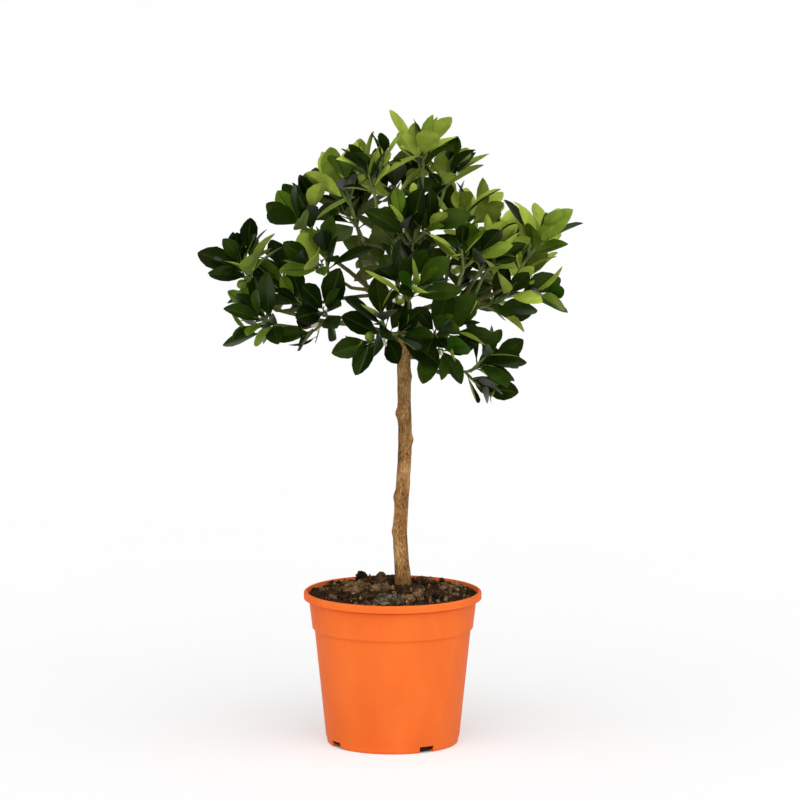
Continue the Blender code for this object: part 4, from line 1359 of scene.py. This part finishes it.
def leaf_points(name, leaves, seed, tints):
    """A point for each leaf that holds its turn, size, pattern and tint."""
    chance = random.Random(seed)
    mesh = bpy.data.meshes.new(name)
    mesh.from_pydata([leaf.root for _, leaf in leaves], [], [])
    turns, sizes, shapes, dealt = [], [], [], []
    for spray, leaf in leaves:
        upright = min(1, max(0, 0.5 + (leaf.direction.z - 0.2) / 0.5))
        closed = chance.random() < CLOSED.get(spray, SELDOM_CLOSED) * upright
        turned_over = int(looks_in(leaf, chance) != closed)
        facing = -leaf.facing if turned_over else leaf.facing
        way = Matrix((leaf.direction.cross(facing), leaf.direction, facing)).transposed()
        turns += way.to_euler()
        broad = BLADE_BREADTH * leaf.width / (LEAF_ASPECT * LEAF_KINDS[leaf.kind].width)
        sizes += (broad, leaf.length, leaf.length)
        shapes.append((leaf.kind * 2 + turned_over) * LEAF_PATTERNS + chance.randrange(LEAF_PATTERNS))
        dealt.append(chance.choices(range(len(UPPER_TINTS)), tints)[0])
    for told, kind, field, values in (
            ("turn", "FLOAT_VECTOR", "vector", turns), ("size", "FLOAT_VECTOR", "vector", sizes),
            ("shape", "INT", "value", shapes), ("tint", "INT", "value", dealt)):
        mesh.attributes.new(told, kind, "POINT").data.foreach_set(field, values)
    return mesh


def set_leaves(name, leaves, seed, tints, sides):
    """Leaves as one piece, with the finishes of their two sides and the shares of their tints."""
    finishes = {side: finish.material for side, finish in sides.items()}
    return leaf_setting.grow(name, leaf_points(name, leaves, seed, tints), {"Patterns": patterns, **finishes})


GROWN_SHARES = [tint.share for tint in UPPER_TINTS]
YOUNG_SHARES = (20, 30, 28, 8, 14)
GROWN_SEED = 4
YOUNG_SEED = 6
lit = [mass for mass in masses if mass.name not in SHADED_SPRAYS]
shaded = [mass for mass in masses if mass.name in SHADED_SPRAYS]
# The shaded sprays take the painted-shade underside in place of both undersides
painted_shade_finishes = {**leaf_finishes, "Underside": painted_shade_underside, "Older underside": painted_shade_underside}
for place, sprays, sides in (("", lit, leaf_finishes), ("shaded_", shaded, painted_shade_finishes)):
    grown = [(mass.name, leaf) for mass in sprays for leaf in mass.leaves]
    leaves = set_leaves(f"{place}leaves", grown, GROWN_SEED, GROWN_SHARES, sides)
    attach(leaves, "root")
    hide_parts(*[f"leaves_{mass.name}" for mass in sprays])
    young = [(mass.name, leaf) for mass in sprays for leaf in mass.young]
    young_leaves = set_leaves(f"{place}young_leaves", young, YOUNG_SEED, YOUNG_SHARES, sides)
    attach(young_leaves, "root")


# ---------------------------------------------------------------- the bark of the twigs
# Smooth green young bark with faint lighter streaks. It covers every shoot and the side
# twigs that bear young leaves, from the end of each bough to the tips.

SHOOT_TONES = ((0.3, (0.055, 0.085, 0.014)), (0.5, (0.10, 0.15, 0.026)), (0.72, (0.20, 0.21, 0.055)))

young_shoot = Finish("young_shoot", 0.55, 0.4)
young_shoot.patches(7 * MM, 3, SHOOT_TONES, (1, 1, 1.6))
young_shoot.relief(young_shoot.grain(1.4 * MM, 3), 0.25 * MM, 0.5)

courses = []
for mass in masses:
    tip = limbs[mass.name][1][-1]
    stem = [mass.start - mass.heading * 4 * MM] + mass.stem
    courses.append((stem, [tip * 0.9, tip, STEM_RADIUS * 1.1, STEM_RADIUS * 0.6]))
    root, bend, end = [radius * TWIG_THICKNESS for radius in SHOOT_RADII]
    courses += [(twig, [root, bend, end * 0.8]) for twig in mass.twigs]
    courses += [(fine, [FINE_TWIG_RADIUS * k for k in (1.3, 1, 0.7)]) for fine in mass.leafy]
twigs = grow_limbs("twigs", courses, young_shoot, 3 * MM, 8, [500, 500, 500], 0.3 * MM)
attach(twigs, "root")


# ---------------------------------------------------------------- the fruit
# A few unripe fruits no bigger than a marble: green, glossy and finely dimpled with oil
# glands, each on a short stalk with a five-lobed calyx and the dry dot of the old flower.

STALK_RADIUS = 0.9 * MM
FRUIT_SPOKES = 20
FRUIT_RINGS = 14
CALYX_SPOKES = 20
LIGHT_SIDE = Vector((0, -1, 0.15))
RAY_STEP = 30 * MM
HANGING_SHARES = (0.3, 0.6, 0.9)
HANGING_BEARINGS = range(190, 360, 20)
HANGING_CLIMBS = (-25, 10, 45)
RIND_TONES = ((0.3, (0.075, 0.13, 0.006)), (0.55, (0.13, 0.20, 0.012)), (0.8, (0.21, 0.29, 0.025)))


def hang(mass, ball, reach, spaces):
    """The root and the spot by a mass's shoots that are clear of all and best reached by light."""
    near = [o for o in spaces if o.owner != mass.name or o.kind == "leaf"]
    found = []
    for twig, share, bearing, climb in product(
            mass.twigs, HANGING_SHARES, HANGING_BEARINGS, HANGING_CLIMBS):
        root = along(twig, share)[0]
        spot = root + heading(bearing, climb) * reach
        room = mass.space(ball_shape(spot, ball), "fruit")
        if any(o.meets(room) for o in near):
            continue
        ray = [spot + LIGHT_SIDE * k * RAY_STEP for k in (0.3, 1.3, 2.3)]
        path = mass.space(tube_shape(ray, [ball * 0.5] * 3, 3), "light")
        found.append((sum(o.meets(path) for o in spaces), len(found), root, spot))
    root, spot = min(found)[2:]
    spaces.append(mass.space(ball_shape(spot, ball), "leaf"))
    return root, spot


def skinned(name, rings, low, high):
    """A mesh over rings of as many points each, drawn together in a point at either end."""
    bm = bmesh.new()
    rings = [[bm.verts.new(point) for point in ring] for ring in rings]
    low, high = bm.verts.new(low), bm.verts.new(high)
    spokes = len(rings[0])
    for k in range(spokes):
        j = (k + 1) % spokes
        bm.faces.new((low, rings[0][j], rings[0][k]))
        bm.faces.new((high, rings[-1][k], rings[-1][j]))
        for lower, upper in zip(rings, rings[1:]):
            bm.faces.new((lower[k], lower[j], upper[j], upper[k]))
    return mesh_of(bm, name)


def fruit_mesh(mass):
    """A slightly pointed ball with a dimple at the stalk end, which looks back to the twig."""
    axis = (mass.fruit_root - mass.fruit).normalized()
    side = across(axis)
    other = axis.cross(side)

    def skin(climb, turn):
        """A point of the skin, by its angle up from the far end and its turn about the axis."""
        z = -math.cos(climb)
        dimple = 0.16 * math.exp(-((1 - z) / 0.12) ** 1.5)
        nipple = 0.12 * math.exp(-((1 + z) / 0.05))
        out = turned_to(side, other, turn) * math.sin(climb) * (1.03 - 0.05 * z * z)
        return mass.fruit + (out + axis * (z - dimple - nipple)) * FRUIT_RADIUS

    turns = [2 * math.pi * k / FRUIT_SPOKES for k in range(FRUIT_SPOKES)]
    climbs = [math.pi * k / FRUIT_RINGS for k in range(1, FRUIT_RINGS)]
    rings = [[skin(climb, turn) for turn in turns] for climb in climbs]
    return skinned("fruit", rings, skin(0, 0), skin(math.pi, 0))


def calyx_mesh(mass):
    """Five small pointed lobes that clasp the stalk end of the fruit."""
    axis = (mass.fruit_root - mass.fruit).normalized()
    side = across(axis)
    other = axis.cross(side)
    seat = mass.fruit + axis * FRUIT_RADIUS * 0.86
    under, upper = [], []
    for k in range(CALYX_SPOKES):
        turn = 2 * math.pi * k / CALYX_SPOKES
        reach = (2.3 + 0.9 * math.cos(5 * turn)) * MM
        drop = -0.12 * MM - (reach / FRUIT_RADIUS) ** 2 * FRUIT_RADIUS * 0.33
        out = turned_to(side, other, turn) * reach
        under.append(seat + out * 0.96 + axis * (drop - 0.1 * MM))
        upper.append(seat + out + axis * (drop + 0.35 * MM))
    return skinned("calyx", (under, upper), seat - axis * 0.5 * MM, seat + axis * 0.9 * MM)


unripe_rind = Finish("unripe_rind", 0.36, 0.25)
unripe_rind.patches(5 * MM, 3, RIND_TONES)
unripe_rind.relief(unripe_rind.cells(0.7 * MM), 0.12 * MM, 0.6)
stalk_green = Finish("stalk_green", 0.6, 0.3)
stalk_green.patches(3 * MM, 2, ((0.3, (0.12, 0.17, 0.03)), (0.7, (0.24, 0.27, 0.08))))
stalk_green.relief(stalk_green.grain(0.8 * MM, 2), 0.1 * MM, 0.5)

fruits, calyces, stalks = [], [], []
for mass in masses:
    if mass.spray.fruit:
        mass.fruit_root, mass.fruit = hang(mass, FRUIT_RADIUS, FRUIT_RADIUS * 1.7, spaces)
        fruits.append((0, fruit_mesh(mass)))
        calyces.append((0, calyx_mesh(mass)))
        neck = mass.fruit.lerp(mass.fruit_root, 0.55)
        course = [mass.fruit_root, neck, mass.fruit.lerp(neck, 0.7)]
        stalks.append((course, [STALK_RADIUS, STALK_RADIUS, STALK_RADIUS * 1.2]))
fruit = joined("green_fruits", fruits, unripe_rind)
calyx = joined("fruit_calyces", calyces, stalk_green)
stalk = grow_limbs("fruit_stalks", stalks, stalk_green, 1 * MM, 8, [500, 500, 500], 0.1 * MM)
for piece in (fruit, calyx, stalk):
    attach(piece, "root")


# ---------------------------------------------------------------- the flower buds
# Waxy buds of cream-white petals not yet open, in clusters of three along the shoots, each
# held in a small green cup on a short stalk.

BUD_SPRAYS = ("front", "front_low", "left_inner", "front_right", "right_front")
BUD_LENGTHS = (10, 8, 9)
BUD_STALK = 5 * MM
BUD_ROOM = 2.6 * MM
BUD_REACH = 9 * MM
BUD_SPOKES = 16
# Shares of a bud's length, and how broad it is there
BUD_OUTLINE = ((0, 0.30), (0.12, 0.5), (0.35, 0.72), (0.6, 0.95), (0.8, 1.0), (0.92, 0.75), (0.985, 0.35))


def bud_mesh(root, axis, length):
    """A blunt club of four petals furled round each other."""
    side = across(axis)
    other = axis.cross(side)
    rings = []
    for share, broad in BUD_OUTLINE:
        ring = []
        for k in range(BUD_SPOKES):
            turn = 2 * math.pi * k / BUD_SPOKES + share * 0.9
            furl = 1 - 0.09 * abs(math.cos(2 * turn)) ** 6
            reach = broad * length * 0.24 * furl
            ring.append(root + axis * share * length + turned_to(side, other, turn) * reach)
        rings.append(ring)
    return skinned("bud", rings, root, root + axis * length)


petal = Finish("cream_petal", 0.5, 0.4)
petal.patches(3 * MM, 2, ((0.3, (0.78, 0.74, 0.50)), (0.6, (0.88, 0.86, 0.72))))
petal.relief(petal.grain(1 * MM, 2), 0.08 * MM, 0.4)
named = {mass.name: mass for mass in masses}
buds, bud_stalks = [], []
for name in BUD_SPRAYS:
    root, spot = hang(named[name], BUD_ROOM, BUD_REACH, spaces)
    axis = (spot - root).normalized()
    for k, length in enumerate(BUD_LENGTHS):
        way = (axis + around(axis, math.radians(120 * k)) * 0.5).normalized()
        neck = root + way * BUD_STALK
        course = [root, neck - way * 1.2 * MM, neck + way * 1.2 * MM]
        bud_stalks.append((course, [0.6 * MM, 0.7 * MM, 1.3 * MM]))
        buds.append((0, bud_mesh(neck, way, length * MM)))
bud = joined("flower_buds", buds, petal)
bud_stalk = grow_limbs("bud_stalks", bud_stalks, stalk_green, 0.6 * MM, 8, [500, 500, 500], 0.05 * MM)
for piece in (bud, bud_stalk):
    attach(piece, "root")


# ---------------------------------------------------------------- the studio
# A seamless white table that glows round the pot as painted light, with a painted shade
# under the pot, a large soft lamp over each shoulder and one in front, in a pale room.

FLOOR_HALF = 200
FLOOR_CORNERS = [(FLOOR_HALF * x, FLOOR_HALF * y, 0) for x, y in ((-1, -1), (1, -1), (1, 1), (-1, 1))]
FLOOR_WHITES = ((0.2, (0.515, 0.515, 0.515)), (0.8, (0.525, 0.525, 0.525)))
LENS = 211.8
VIEW_TARGET = Vector((7.8, 0, 369.4)) * MM
VIEW_DISTANCE = 5000 * MM
VIEW_PITCH = math.radians(8.05)
ROOM_LIGHT = 0.36
# The table's glow is painted light, which lightens the shadows on it
TABLE_GLOW = 0.405
POT_SHADE_RADIUS = 71 * MM           # painted shade: under the pot the table doesn't glow
POT_SHADE_EDGE = 8 * MM
Lamp = namedtuple("Lamp", "bearing climb spread strength")
LAMPS = [Lamp(*row) for row in (
    (-54, 44, 100, 1.05),
    (-126, 42, 100, 0.85),
    (-88, 54, 80, 1.42),
)]

sweep_mesh = bpy.data.meshes.new("sweep")
sweep_mesh.from_pydata(FLOOR_CORNERS, [], [(0, 1, 2, 3)])
white = Finish("white_sweep", 0.9, 0.2)
white.patches(300 * MM, 2, FLOOR_WHITES)
# Painted light: the table glows, but not under the pot, where a painted shade stands
away = white.node("ShaderNodeVectorMath", {0: white.place}, operation="LENGTH")["Value"]
glow = white.levels(away, 0, TABLE_GLOW, POT_SHADE_RADIUS - POT_SHADE_EDGE, POT_SHADE_RADIUS)
white.feed(white.shader["Emission Strength"], glow)
white.feed(white.shader["Emission Color"], (1, 1, 1, 1))
sweep = new_piece("sweep", sweep_mesh, white)

for number, lamp in enumerate(LAMPS):
    light = bpy.data.lights.new(f"lamp_{number}", "SUN")
    light.angle = math.radians(lamp.spread)
    light.energy = lamp.strength
    fitting = bpy.data.objects.new(light.name, light)
    fitting.rotation_euler = heading(lamp.bearing, lamp.climb).to_track_quat("Z", "Y").to_euler()
    bpy.context.scene.collection.objects.link(fitting)

world = bpy.data.worlds.new("room")
world.use_nodes = True
background = world.node_tree.nodes["Background"]
background.inputs["Color"].default_value = (1, 1, 1, 1)
background.inputs["Strength"].default_value = ROOM_LIGHT
bpy.context.scene.world = world

camera_data = bpy.data.cameras.new("camera")
camera_data.lens = LENS
camera_data.clip_end = 1000
camera = bpy.data.objects.new("camera", camera_data)
back = Vector((0, -math.cos(VIEW_PITCH), math.sin(VIEW_PITCH)))
camera.location = VIEW_TARGET + back * VIEW_DISTANCE
camera.rotation_euler = back.to_track_quat("Z", "Y").to_euler()
bpy.context.scene.collection.objects.link(camera)
bpy.context.scene.camera = camera
bpy.context.scene.view_settings.view_transform = "Standard"
